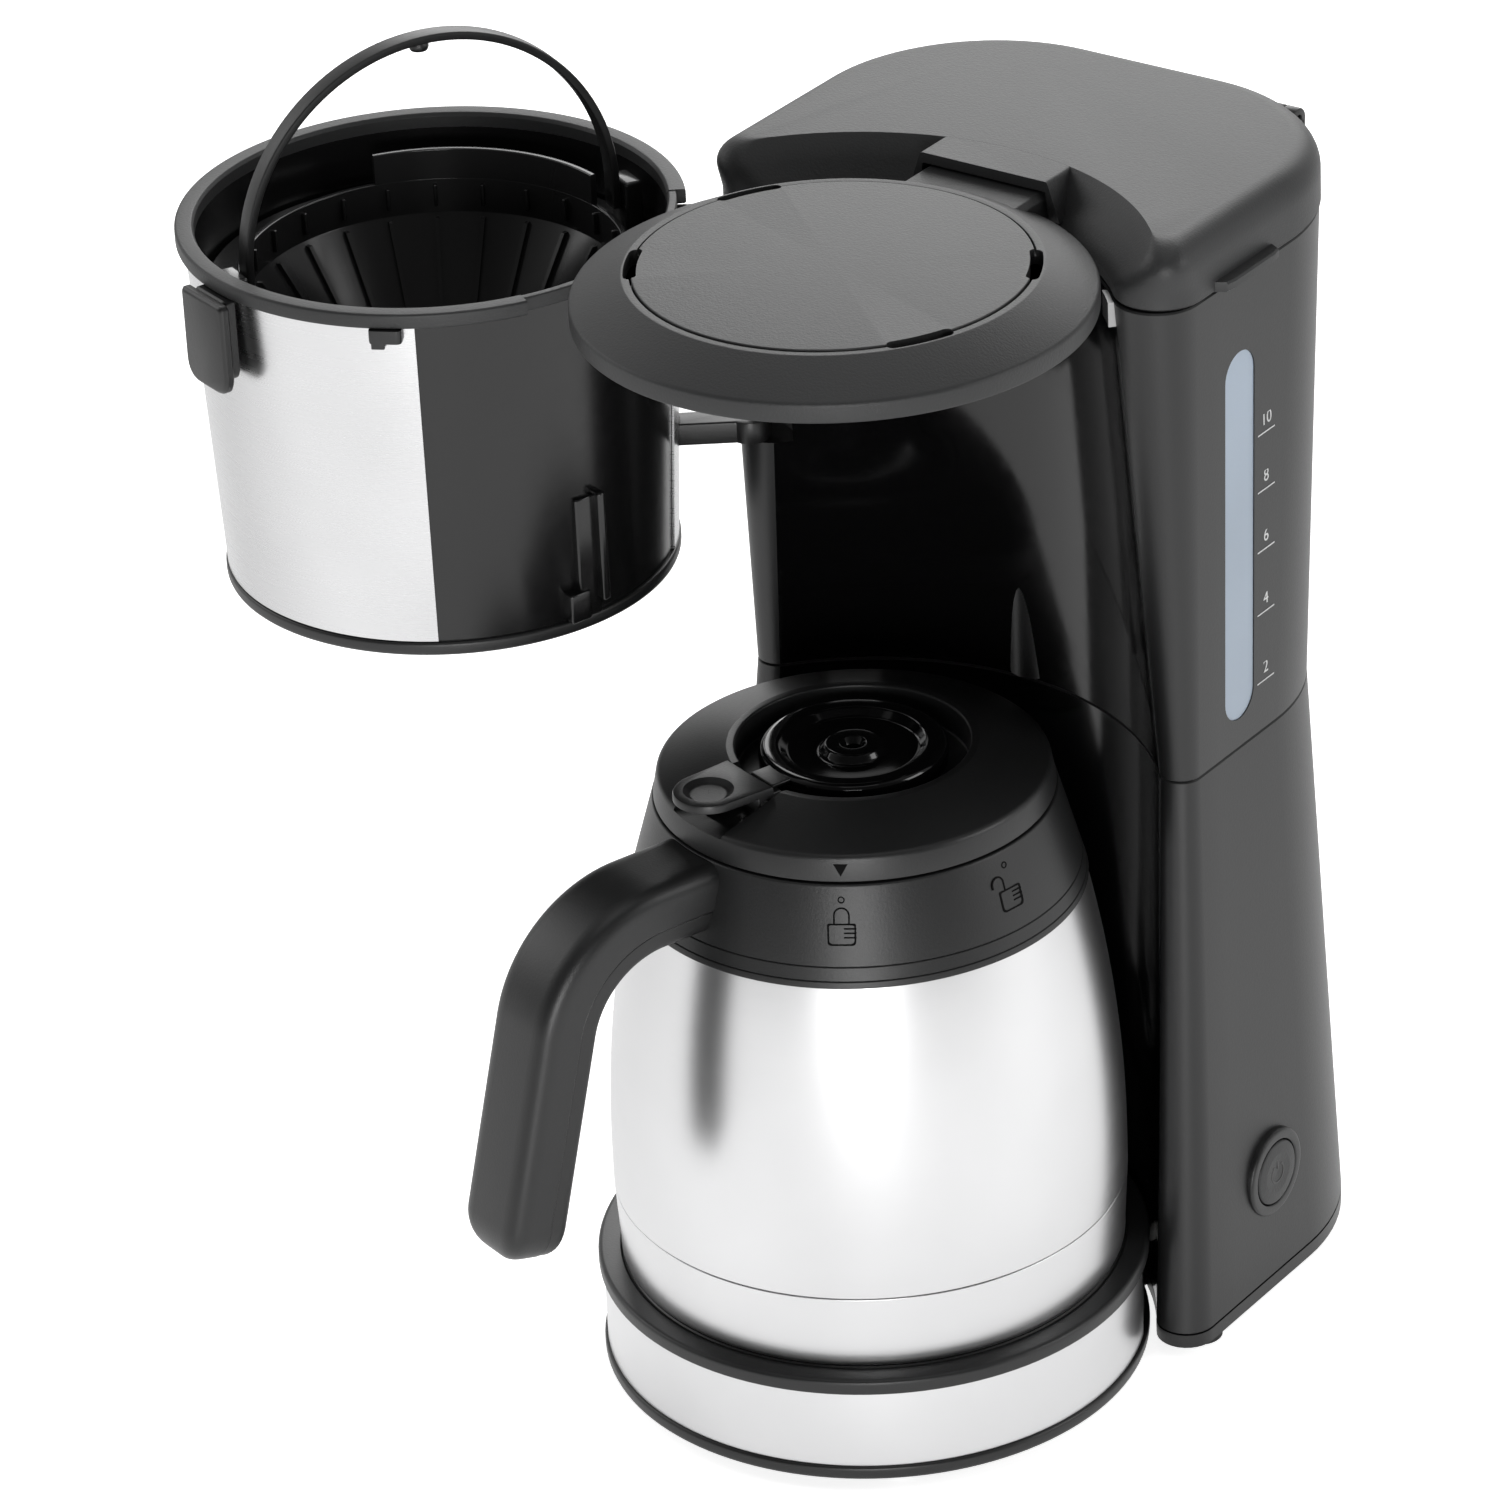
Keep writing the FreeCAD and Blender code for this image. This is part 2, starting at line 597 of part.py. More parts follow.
def tower_wire(sizes, height, inset=0.0):
    """Closed outline with a hollow front, front corners, straight sides and a round rear."""
    half, rear, bend, hollow, nose = sizes
    half, rear, bend, hollow, nose = half - inset, rear - inset, bend - inset, hollow + inset, nose - inset
    centre = V(half - nose, math.sqrt((hollow + nose) ** 2 - (half - nose) ** 2), 0)
    toward = centre * (1 / centre.Length)
    touch = toward * hollow
    side = V(1, 0, 0)
    middle = side - toward
    middle.normalize()
    tip = centre + middle * nose
    flank = V(half, centre.y, 0)
    back = V(half, rear - bend, 0)
    turn = V(half - bend, rear - bend, 0) + V(1, 1, 0) * (bend / math.sqrt(2))
    end = V(half - bend, rear, 0)

    def lift(p, sign=1):
        return V(p.x * sign, p.y, height)

    edges = [
        Part.Arc(lift(touch, -1), V(0, hollow, height), lift(touch)).toShape(),
        Part.Arc(lift(touch), lift(tip), lift(flank)).toShape(),
        Part.LineSegment(lift(flank), lift(back)).toShape(),
        Part.Arc(lift(back), lift(turn), lift(end)).toShape(),
        Part.LineSegment(lift(end), lift(end, -1)).toShape(),
        Part.Arc(lift(end, -1), lift(turn, -1), lift(back, -1)).toShape(),
        Part.LineSegment(lift(back, -1), lift(flank, -1)).toShape(),
        Part.Arc(lift(flank, -1), lift(tip, -1), lift(touch, -1)).toShape(),
    ]
    return Part.Wire(edges)


def tower_solid(low, high, inset=0.0):
    """Ruled solid of the tower between two heights."""
    wires = [tower_wire(tower_sizes(h), h, inset) for h in (low, high)]
    return Part.makeLoft(wires, True, True)


def flat_prism(sizes, low, high, inset=0.0):
    """Upright prism of a tower outline."""
    wire = tower_wire(sizes, low, inset)
    return Part.Face(wire).extrude(V(0, 0, high - low))


wall = s.tower_wall.value
low_sizes = [size.value for size in LEVELS["low"]]
foot_outer = shaped("cover_tower", flat_prism(low_sizes, s.foot_height.value, bead_top.value))
foot_inner = shaped("cover_tower_pocket", flat_prism(low_sizes, plate_top.value, bead_top.value,
                                                     s.cover_rim.value))

node("foot_ring", ring("foot_ring", s.foot_ring_outer, s.foot_ring_inner, 0, s.foot_height))

pads = []
for i, (side, rear) in enumerate(((s.tower_foot_side, s.tower_foot_front), (s.rear_foot_side,
                                                                            s.tower_foot_rear))):
    pads.append(rod("pad_right_%d" % i, s.tower_foot_radius, s.foot_height, side, rear, 0))
    pads.append(rod("pad_left_%d" % i, s.tower_foot_radius, s.foot_height, -side, rear, 0))
node("tower_feet", fuse("tower_feet", *pads))

screw_turn = math.radians(s.drum_screw_turn.value)
SCREWS = [
    (s.drum_screw_circle * math.sin(screw_turn), -s.drum_screw_circle * math.cos(screw_turn)),
    (-s.drum_screw_circle * math.sin(screw_turn), -s.drum_screw_circle * math.cos(screw_turn)),
    (s.low_half - s.tower_screw_inset, s.tower_screw_rear),
    (-(s.low_half - s.tower_screw_inset), s.tower_screw_rear),
]
screws, screw_bores, bosses = [], [], []
for i, (x, y) in enumerate(SCREWS):
    head = rod("screw_head_%d" % i, s.screw_head, s.screw_head_height, x, y,
               s.foot_height - s.screw_head_height)
    shank = rod("screw_shank_%d" % i, s.screw_radius, s.cover_plate + s.screw_reach, x, y, s.foot_height)
    screws += [head, shank]
    length = s.cover_plate + s.boss_height
    screw_bores.append(rod("screw_bore_%d" % i, s.screw_radius, length, x, y, s.foot_height))
    bosses.append(rod("screw_boss_%d" % i, s.boss_radius, s.boss_height, x, y, plate_top))
node("base_screws", fuse("base_screws", *screws))

cover_round = rod("cover_round", s.base_radius, s.bead_height, z=s.foot_height)
cover_pocket = rod("cover_pocket", s.base_radius - s.cover_rim, s.bead_height, z=plate_top)
cover_bridge = block("cover_bridge", (-s.heater_outer, s.heater_outer), (s.heater_inner, s.riser_rear),
                     (s.foot_height, plate_top))
cover_blank = fuse("cover_blank", cover_round, foot_outer, cover_bridge)
cover_hollow = fuse("cover_hollow", cover_pocket, foot_inner)
node("bottom_cover", cut("bottom_cover", cover_blank, cover_hollow, *screw_bores))

port_side = (s.heater_outer + s.heater_inner) / 2
port_height = s.heater_low + s.heater_height / 2
ports = [rod("port_%d" % i, s.hose_port, s.low_hollow, port_side * sign, s.heater_inner / 2, port_height, "Y")
         for i, sign in enumerate((1, -1))]

drum = ring("drum_wall_ring", drum_outer, drum_inner, bead_top, s.band_top - bead_top)
drum_whole = fuse("drum_whole", drum, bosses[0], bosses[1])
node("base_drum", cut("base_drum", drum_whole, ports[0], ports[1], screw_bores[0], screw_bores[1]))

band_inner = s.band_radius - s.band_sheet
band = turned("base_band", [(band_inner, bead_top), (s.band_radius, bead_top),
                            (s.band_radius, s.band_top), (band_inner, s.band_top)], s.band_span)
node("base_band", band, about_axis(-90))

plate_low = s.stand_top - s.stand_plate
node("carafe_stand", turned("carafe_stand", [
    (0, plate_low), (drum_inner, plate_low), (drum_inner, s.band_top), (s.stand_radius, s.band_top),
    (s.stand_radius, s.stand_top - s.stand_edge), (s.stand_radius - s.stand_edge, s.stand_top), (0,
                                                                                                 s.stand_top)]))

# Lower housing with button, switch and gland openings
lower_shell = tower_solid(bead_top.value, s.waist_height.value).cut(
    tower_solid(bead_top.value - 1, s.waist_height.value + 1, wall))
lower_blank = shaped("lower_blank", lower_shell)
lower_core = shaped("lower_core", tower_solid(bead_top.value, s.waist_height.value))
boss_pair = shared("lower_bosses", fuse("boss_pair", bosses[2], bosses[3]), lower_core)
lower_whole = fuse("lower_whole", lower_blank, boss_pair)
bezel_length = s.bezel_face - s.bezel_back
bezel_solid = rod("bezel_solid", s.bezel_radius, bezel_length, s.bezel_back, s.button_rear, s.button_height,
                  "X")
gland_front = s.low_rear - s.tower_wall * 3
gland_hole = rod("gland_hole", s.gland_radius, s.tower_wall * 5, 0, gland_front, s.gland_height, "Y")
node("lower_housing", cut("lower_housing", lower_whole, bezel_solid, gland_hole, ports[0], ports[1],
                          screw_bores[2], screw_bores[3]))

bezel_hole = rod("bezel_hole", s.bezel_bore, bezel_length, s.bezel_back, s.button_rear, s.button_height, "X")
node("button_bezel", cut("button_bezel", bezel_solid, bezel_hole))
node("power_button", rod("power_button", s.button_radius, s.button_depth, s.button_face - s.button_depth,
                         s.button_rear, s.button_height, "X"))
node("power_switch", block("power_switch", (s.bezel_back - s.switch_depth, s.bezel_back),
                           (s.button_rear - s.switch_size / 2, s.button_rear + s.switch_size / 2),
                           (s.button_height - s.switch_size / 2, s.button_height + s.switch_size / 2)))

gland_body = rod("gland_body", s.gland_radius, s.tower_wall * 3 + s.gland_reach, 0, gland_front,
                 s.gland_height, "Y")
gland_rim = rod("gland_rim", s.gland_flange, s.gland_reach, 0, s.low_rear, s.gland_height, "Y")
gland_whole = fuse("gland_whole", gland_body, gland_rim)
gland_bore = rod("gland_bore_tool", s.gland_bore, s.low_rear, 0, gland_front, s.gland_height, "Y")
node("cord_gland", cut("cord_gland", gland_whole, gland_bore))

# Upper housing: the water tank with riser column, filter hinge recess and lid ears
tank_low = s.waist_height + s.tank_floor
tank_core = tower_solid(s.waist_height.value, s.tower_top.value)
tank_room = tower_solid(tank_low.value, s.tower_top.value + 1, wall)
tank_outer = shaped("tank_outer", tank_core)
corner = rod("hinge_corner", s.hinge_recess + s.tower_wall, s.tower_top, -s.hinge_side, s.hinge_rear, 0)
column = rod("riser_column", s.column_radius, s.neck_top, 0, s.riser_rear, 0)
tank_hollow = cut("tank_hollow", shaped("tank_room", tank_room), corner, column)
tank_shell = cut("tank_shell", tank_outer, tank_hollow)
recess = rod("hinge_recess_tool", s.hinge_recess, s.tower_top, -s.hinge_side, s.hinge_rear, s.hinge_ledge)
tank_open = cut("tank_open", tank_shell, recess)
column_top = rod("column_top", s.column_radius, s.head_low - s.tower_top, 0, s.riser_rear, s.tower_top)
upper_arm_low = s.bucket_top - s.arm_rim_gap - s.arm_height
upper_lug_top = upper_arm_low - s.hinge_gap
lug_eye = rod("lug_eye", s.hinge_eye, upper_lug_top - s.upper_lug_low, -s.hinge_side, s.hinge_rear,
              s.upper_lug_low)
lug_web = block("lug_web", (-s.hinge_side - s.lug_half, -s.hinge_side + s.lug_half),
                (s.hinge_rear, s.hinge_rear + s.hinge_recess + s.tower_wall / 2), (s.upper_lug_low,
                                                                                   upper_lug_top))

ear_front = s.top_rear - s.tower_wall * 4
ears = []
ear_bores = []
for i, sign in enumerate((1, -1)):
    inner = s.lid_ear_inner * sign
    outer = (s.lid_ear_inner + s.lid_ear_width) * sign
    span = (inner, outer) if sign > 0 else (outer, inner)
    foot_top = s.tower_top - s.lid_gap
    foot = block("ear_foot_%d" % i, span, (ear_front, s.lid_axis_rear + s.lid_eye_radius),
                 (foot_top - s.lid_eye_radius * 2, foot_top))
    post = block("ear_post_%d" % i, span, (s.lid_axis_rear - s.lid_eye_radius,
                                           s.lid_axis_rear + s.lid_eye_radius),
                 (foot_top - s.lid_eye_radius, s.lid_axis_height))
    eye = rod("ear_eye_%d" % i, s.lid_eye_radius, s.lid_ear_width, span[0], s.lid_axis_rear,
              s.lid_axis_height, "X")
    ears += [foot, post, eye]
    ear_bores.append(rod("ear_bore_%d" % i, s.lid_pin_radius + s.pin_play, s.lid_ear_width, span[0],
                         s.lid_axis_rear, s.lid_axis_height, "X"))
ear_group = cut("ear_group", fuse("ear_blank", *ears), shaped("tank_room_two", tank_room))

window_half = s.window_width / 2
window_mid = s.window_front + window_half
window_reach = s.top_half - s.tower_wall * 3
window_ends = [rod("window_end_%d" % i, window_half, s.tower_wall * 5, window_reach, window_mid, height, "X")
               for i, height in enumerate((s.window_low + window_half, s.window_high - window_half))]
window_slab = block("window_slab", (window_reach, window_reach + s.tower_wall * 5),
                    (s.window_front, s.window_front + s.window_width),
                    (s.window_low + window_half, s.window_high - window_half))
window_tool = fuse("window_tool", window_slab, *window_ends)
tank_wall = shaped("tank_wall", tank_core.cut(tank_room))
node("water_window", shared("water_window", window_tool, tank_wall))

lower_pin_low = s.hinge_ledge - s.hinge_anchor
pin_hole_low = rod("pin_hole_low", s.hinge_pin, s.hinge_anchor, -s.hinge_side, s.hinge_rear, lower_pin_low)
pin_hole_high = rod("pin_hole_high", s.hinge_pin, s.tower_top - s.upper_lug_low, -s.hinge_side, s.hinge_rear,
                    s.upper_lug_low)
riser_hole = rod("riser_hole", s.column_bore, s.neck_top, 0, s.riser_rear, 0)
outlet_hole = rod("outlet_hole", s.hose_radius, s.tank_floor, -s.outlet_side, s.outlet_rear, s.waist_height)
tank_whole = fuse("tank_whole", tank_open, column_top, lug_eye, lug_web, ear_group)
node("upper_housing", cut("upper_housing", tank_whole, window_tool, pin_hole_low, pin_hole_high, riser_hole,
                          outlet_hole, *ear_bores))

lower_arm_low = s.hinge_ledge + s.hinge_gap
pin_low = rod("pin_low", s.hinge_pin, s.hinge_anchor + s.hinge_gap + s.arm_height, -s.hinge_side,
              s.hinge_rear,
              lower_pin_low)
pin_high = rod("pin_high", s.hinge_pin, upper_arm_low + s.arm_height - s.upper_lug_low, -s.hinge_side,
               s.hinge_rear, s.upper_lug_low)
node("hinge_pins", fuse("hinge_pins", pin_low, pin_high))

clip_ring = ring("clip_ring", s.top_hollow + s.tower_wall, s.clip_reach, s.catch_low, s.clip_height)
clip_block = block("clip_block", (s.clip_reach - s.tower_wall, s.top_hollow + s.tower_wall),
                   (-s.catch_half, s.catch_half), (s.catch_low, s.catch_low + s.clip_height))
clip_block.Placement = about_axis(s.catch_angle).multiply(clip_block.Placement)
for axis in "xyz":
    clip_block.setExpression("Placement.Base.%s" % axis, None)
clip_piece = shared("clip_piece", clip_ring, clip_block)
node("catch_clip", cut("catch_clip", clip_piece, tank_outer))

# Tank lid
lid_low = s.tower_top + s.lid_gap
top_sizes = [size.value for size in LEVELS["top"]]
over = s.lid_overhang.value
lid_flat = [s.lid_top_half.value, s.lid_top_rear.value, s.lid_top_round.value, s.lid_top_hollow.value,
            s.lid_top_nose.value]
facet_share = (s.lid_shoulder.value - s.lid_facet_low.value) / (s.lid_top.value - s.lid_facet_low.value)


def lid_levels(inset, lower):
    """Outlines up the tank lid, from its rim to its flat top."""
    rim = [top_sizes[0] + over, top_sizes[1] + over, top_sizes[2] + over, top_sizes[3] + over,
           top_sizes[4] + over]
    slope = lid_flat[3] - rim[3]
    shoulder = rim[:3] + [rim[3] + slope * facet_share, rim[4] - (rim[4] - lid_flat[4]) * facet_share]
    bend = s.lid_bend_inset.value
    bend_share = (s.lid_bend.value - s.lid_facet_low.value) / (s.lid_top.value - s.lid_facet_low.value)
    curve = [rim[0] - bend, rim[1] - bend, rim[2] - bend, rim[3] + slope * bend_share,
             rim[4] - (rim[4] - lid_flat[4]) * bend_share]
    heights = (lid_low.value, s.lid_facet_low.value, s.lid_shoulder.value, s.lid_bend.value, s.lid_top.value)
    rows = list(zip((rim, rim, shoulder, curve, lid_flat), heights))
    return [tower_wire(sizes, height - lower, inset) for sizes, height in rows]


lid_wall = s.lid_wall.value
lid_solid = Part.makeLoft(lid_levels(0.0, 0.0), True, True)
lid_room = Part.makeLoft(lid_levels(lid_wall, lid_wall), True, True)
lid_outer = shaped("lid_outer", lid_solid)


def arch_prism(half_low, half_top, low, high, front, rear):
    """Prism of the arch's section run from front to rear."""
    section = [V(-half_low, front, low), V(half_low, front, low), V(half_top, front, high), V(-half_top,
                                                                                              front, high)]
    return Part.Face(Part.makePolygon(section + section[:1])).extrude(V(0, rear - front, 0))


arch_low = s.lid_facet_low.value + s.tab_thick.value
arch_roof = s.lid_top.value
arch_half_low = s.arch_half_low.value
arch_half_top = s.arch_half_top.value
arch = arch_prism(arch_half_low, arch_half_top + lid_wall, arch_low, arch_roof, s.arch_front.value,
                  s.arch_ridge.value)
arch = arch.cut(Part.makeCylinder(s.head_radius.value + s.lid_gap.value, s.lid_top.value))
tunnel_low = s.tower_top.value
tunnel_top = s.neck_top.value + s.lid_gap.value * 2
tunnel = arch_prism(arch_half_low - lid_wall, arch_half_top + lid_wall, tunnel_low, tunnel_top,
                    s.head_shoulder.value, s.neck_rear.value + s.clearance.value * 4)
lid_arch = shaped("lid_arch", arch)
tab = block("lid_tab", (s.top_half - s.tower_wall / 2, s.tab_reach), (s.tab_front, s.tab_rear),
            (lid_low, lid_low + s.tab_thick))
knuckles, lid_pins, knuckle_bores = [], [], []
for i, sign in enumerate((1, -1)):
    inner = s.lid_knuckle_inner * sign
    outer = (s.lid_ear_inner - s.clearance) * sign
    span = (inner, outer) if sign > 0 else (outer, inner)
    bar = block("knuckle_bar_%d" % i, span, (s.top_rear - s.tower_wall * 4, s.lid_axis_rear),
                (s.lid_axis_height - s.lid_eye_radius, s.lid_axis_height + s.lid_eye_radius))
    width = s.lid_ear_inner - s.clearance - s.lid_knuckle_inner
    eye = rod("knuckle_eye_%d" % i, s.lid_eye_radius, width, span[0], s.lid_axis_rear, s.lid_axis_height, "X")
    knuckles += [bar, eye]
    knuckle_bores.append(rod("knuckle_bore_%d" % i, s.lid_pin_radius, width, span[0], s.lid_axis_rear,
                             s.lid_axis_height, "X"))
    pin_end = (s.lid_ear_inner + s.lid_ear_width) * sign
    pin_low_x = inner if sign > 0 else pin_end
    lid_pins.append(rod("lid_pin_%d" % i, s.lid_pin_radius,
                        s.lid_ear_inner + s.lid_ear_width - s.lid_knuckle_inner,
                        pin_low_x, s.lid_axis_rear, s.lid_axis_height, "X"))
lid_blank = fuse("lid_blank", lid_outer, lid_arch, tab, *knuckles)
node("tank_lid", cut("tank_lid", lid_blank, shaped("lid_room", lid_room), shaped("lid_tunnel", tunnel),
                     *knuckle_bores))
node("lid_hinge_pins", fuse("lid_hinge_pins", *lid_pins))

# Brew head
head_inner = s.head_radius - s.head_wall
roof_low = s.head_top - s.panel_seat - s.head_wall
seat_radius = s.panel_radius + s.panel_groove
head_ring = turned("head_ring", [
    (s.head_radius, s.head_low), (s.head_radius, s.head_lip), (s.head_shoulder, s.head_top),
    (seat_radius, s.head_top), (seat_radius, s.head_top - s.panel_seat), (0, s.head_top - s.panel_seat),
    (0, roof_low), (s.head_shoulder - s.head_wall, roof_low), (head_inner, s.head_lip - s.head_wall),
    (head_inner, s.head_low)])
neck = block("neck", (-s.neck_half, s.neck_half), (s.head_shoulder, s.neck_rear), (s.head_low, s.neck_top))
neck_inner = s.neck_half - s.head_wall
neck_room = block("neck_room", (-neck_inner, neck_inner),
                  (s.panel_radius - s.head_wall * 3, s.neck_rear - s.head_wall),
                  (s.shower_low + s.shower_plate, s.neck_top - s.head_wall))
slots = []
slot_side = s.slot_side.value
for i, angle in enumerate((90 - slot_side, 90 + slot_side, 270 - slot_side, 270 + slot_side)):
    start = math.radians(angle) - math.radians(s.slot_span.value) / 2
    sector = Part.makeCylinder(s.slot_outer.value, s.panel_seat.value * 2, V(0, 0, s.head_top.value
                               - s.panel_seat.value), UP, s.slot_span.value)
    sector = sector.cut(Part.makeCylinder(s.slot_inner.value, s.head_top.value + s.neck_half.value))
    sector.rotate(V(0, 0, 0), UP, math.degrees(start))
    slots.append(shaped("slot_%d" % i, sector))
slot_group = fuse("slot_group", *slots)
head_whole = fuse("head_whole", head_ring, neck)
riser_gate = rod("riser_gate", s.column_bore, s.head_wall * 2, 0, s.riser_rear, s.head_low)
node("head_cover", cut("head_cover", head_whole, neck_room, slot_group, riser_gate))
panel_blank = rod("panel_blank", s.panel_radius, s.panel_seat + s.panel_proud, z=s.head_top - s.panel_seat)
node("head_panel", cut("head_panel", panel_blank, slot_group))

shower_blank = rod("shower_blank", s.shower_radius, s.shower_plate, z=s.shower_low)
holes = []
hole_count = int(s.shower_holes.value)
for i in range(hole_count):
    turn = 2 * math.pi * i / hole_count
    circle = s.shower_circle if i % 2 else s.shower_inner
    holes.append(rod("shower_hole_%d" % i, s.shower_hole, s.shower_plate, circle * math.cos(turn),
                     circle * math.sin(turn), s.shower_low))
node("shower_plate", cut("shower_plate", shower_blank, neck, *holes))


def bent_path(points, bends):
    """Wire through points with a round bend of its own at each corner."""
    edges = []
    start = points[0]
    for before, corner_point, after, radius in zip(points, points[1:], points[2:], bends):
        one = (before - corner_point).normalize()
        two = (after - corner_point).normalize()
        half = one.getAngle(two) / 2
        reach = radius / math.tan(half)
        enter, leave = corner_point + one * reach, corner_point + two * reach
        inward = (one + two).normalize()
        middle = corner_point + inward * (radius / math.sin(half) - radius)
        edges.append(Part.LineSegment(start, enter).toShape())
        edges.append(Part.Arc(enter, middle, leave).toShape())
        start = leave
    edges.append(Part.LineSegment(start, points[-1]).toShape())
    return Part.Wire(edges)


def pipe(points, radius, bends):
    """Round rod along a bent path."""
    path = bent_path(points, bends)
    heading = points[1] - points[0]
    profile = Part.Wire(Part.makeCircle(radius, points[0], heading))
    return path.makePipeShell([profile], True, False)


def tube(name, points, outer, inner, bends):
    """Hollow tube along a bent path."""
    radii = [bend.value for bend in bends]
    solid = pipe(points, outer.value, radii)
    return shaped(name, solid.cut(pipe(points, inner.value, radii)))


spigot_end = s.spigot_length.value
port_x, port_z = port_side.value, port_height.value
spout_height = (s.shower_low + s.shower_plate).value + s.riser_radius.value + s.clearance.value
bend_rear = s.low_hollow.value + s.boss_radius.value
node("riser_tube", tube("riser_tube", [
    V(port_x, spigot_end, port_z), V(port_x, bend_rear, port_z), V(0, s.riser_rear.value,
                                                                   s.rise_height.value),
    V(0, s.riser_rear.value, spout_height), V(0, s.puck_dish.value, spout_height)],
    s.riser_radius, s.riser_bore, (s.bend_radius, s.bend_radius, s.spout_bend)))
outlet_x, outlet_y = -s.outlet_side.value, s.outlet_rear.value
node("inlet_hose", tube("inlet_hose", [
    V(outlet_x, outlet_y, s.waist_height.value), V(outlet_x, outlet_y, s.rise_height.value), V(-port_x,
                                                                                               bend_rear,
                                                                                               port_z),
    V(-port_x, spigot_end, port_z)], s.hose_radius, s.hose_bore, (s.bend_radius, s.bend_radius)))

heater_ring = ring("heater_ring", s.heater_outer, s.heater_inner, s.heater_low, s.heater_height)
heater_half = block("heater_half", (-s.heater_outer, s.heater_outer), (-s.heater_outer, 0),
                    (s.heater_low, s.heater_low + s.heater_height))
heater_body = shared("heater_body", heater_ring, heater_half)
spigots = [rod("spigot_%d" % i, radius, s.spigot_length, port_side * sign, 0, port_height, "Y")
           for i, (sign, radius) in enumerate(((1, s.riser_radius), (-1, s.hose_radius)))]
node("heater", fuse("heater", heater_body, *spigots))

BRACKET_TURNS = (-30, -90, -150)
brackets = []
for i, angle in enumerate(BRACKET_TURNS):
    turn = math.radians(angle)
    brackets.append(rod("bracket_%d" % i, s.boss_radius, s.heater_low - plate_top, port_side * math.cos(turn),
                        port_side * math.sin(turn), plate_top))
node("heater_brackets", fuse("heater_brackets", *brackets))
heater_top = s.heater_low + s.heater_height
node("thermostat", rod("thermostat", s.sensor_radius, s.sensor_height, 0, -port_side, heater_top))
node("thermal_fuse", rod("thermal_fuse", s.fuse_radius, s.fuse_length, port_side,
                         -s.fuse_length - s.sensor_radius,
                         heater_top + s.fuse_radius, "Y"))
cage = rod("cage", s.valve_cap_radius, s.valve_cap_height, -s.outlet_side, s.outlet_rear, tank_low)
cage_bore = rod("cage_bore", s.hose_bore, s.valve_cap_height * 2, -s.outlet_side, s.outlet_rear,
                s.waist_height)
cage_stem = rod("cage_stem", s.hose_radius, s.tank_floor, -s.outlet_side, s.outlet_rear, s.waist_height)
node("check_valve", cut("check_valve", fuse("cage_whole", cage, cage_stem), cage_bore))

# Filter bucket, drawn closed round the brew axis
floor_top = s.bucket_floor + s.bucket_floor_thick
draft = (s.bucket_top_radius - s.bucket_low_radius) / (s.bucket_top - s.bucket_floor)


def bucket_at(height):
    """Outer radius of the bucket at a height."""
    return s.bucket_low_radius + draft * (height - s.bucket_floor)


ledge_low = s.ledge_top - s.ledge_thick
shell = turned("bucket_turned", [
    (s.nose_bore, s.nose_low), (s.nose_radius, s.nose_low), (s.nose_radius, s.bucket_floor),
    (s.bucket_low_radius, s.bucket_floor), (s.bucket_top_radius, s.bucket_top),
    (s.bucket_top_radius - s.bucket_wall, s.bucket_top), (bucket_at(s.ledge_top) - s.bucket_wall,
                                                          s.ledge_top),
    (s.ledge_radius, s.ledge_top), (s.ledge_radius, ledge_low), (bucket_at(ledge_low) - s.bucket_wall,
                                                                 ledge_low),
    (bucket_at(floor_top) - s.bucket_wall, floor_top), (s.nose_bore, floor_top)])
hinge_reach = math.hypot(s.hinge_side.value, s.hinge_rear.value)
hinge_turn = math.degrees(math.atan2(s.hinge_rear.value, -s.hinge_side.value))
arms, arm_bores = [], []
for i, low in enumerate((lower_arm_low, upper_arm_low)):
    bar = block("arm_bar_%d" % i, (s.bucket_low_radius, hinge_reach), (-s.arm_half, s.arm_half),
                (low, low + s.arm_height))
    eye = rod("arm_eye_%d" % i, s.hinge_eye, s.arm_height, hinge_reach, 0, low)
    arms += [bar, eye]
    arm_bores.append(rod("arm_bore_%d" % i, s.hinge_pin + s.pin_play, s.arm_height, hinge_reach, 0, low))
bucket_room = turned("bucket_room", [
    (0, floor_top), (bucket_at(floor_top) - s.bucket_wall, floor_top),
    (s.bucket_top_radius - s.bucket_wall, s.bucket_top), (0, s.bucket_top)])
arm_group = cut("arm_group", fuse("arm_blank", *arms), bucket_room, *arm_bores)
rib_bar = block("rib_bar", (s.bucket_low_radius, s.rib_reach), (-s.rib_half, s.rib_half), (s.bucket_floor,
                                                                                           s.rib_top))
rib = cut("rib", rib_bar, bucket_room)
rib.Placement = about_axis(90 - hinge_turn)
bucket = fuse("filter_bucket", shell, arm_group, rib)
node("filter_bucket", bucket, opened(hinge_turn))

rim_inner = s.bucket_top_radius - s.bucket_wall
rim_thick = turned("rim_thick", [(rim_inner, s.bucket_top), (s.rim_radius, s.bucket_top), (s.rim_radius,
                                                                                           s.rim_top),
                                 (rim_inner, s.rim_top)], s.rim_span)
rim_thin = turned("rim_thin", [(rim_inner, s.bucket_top), (s.rim_lip, s.bucket_top), (s.rim_lip, s.rim_top),
                               (rim_inner, s.rim_top)])
node("bucket_rim", fuse("bucket_rim", rim_thick, rim_thin), opened(s.rim_centre))

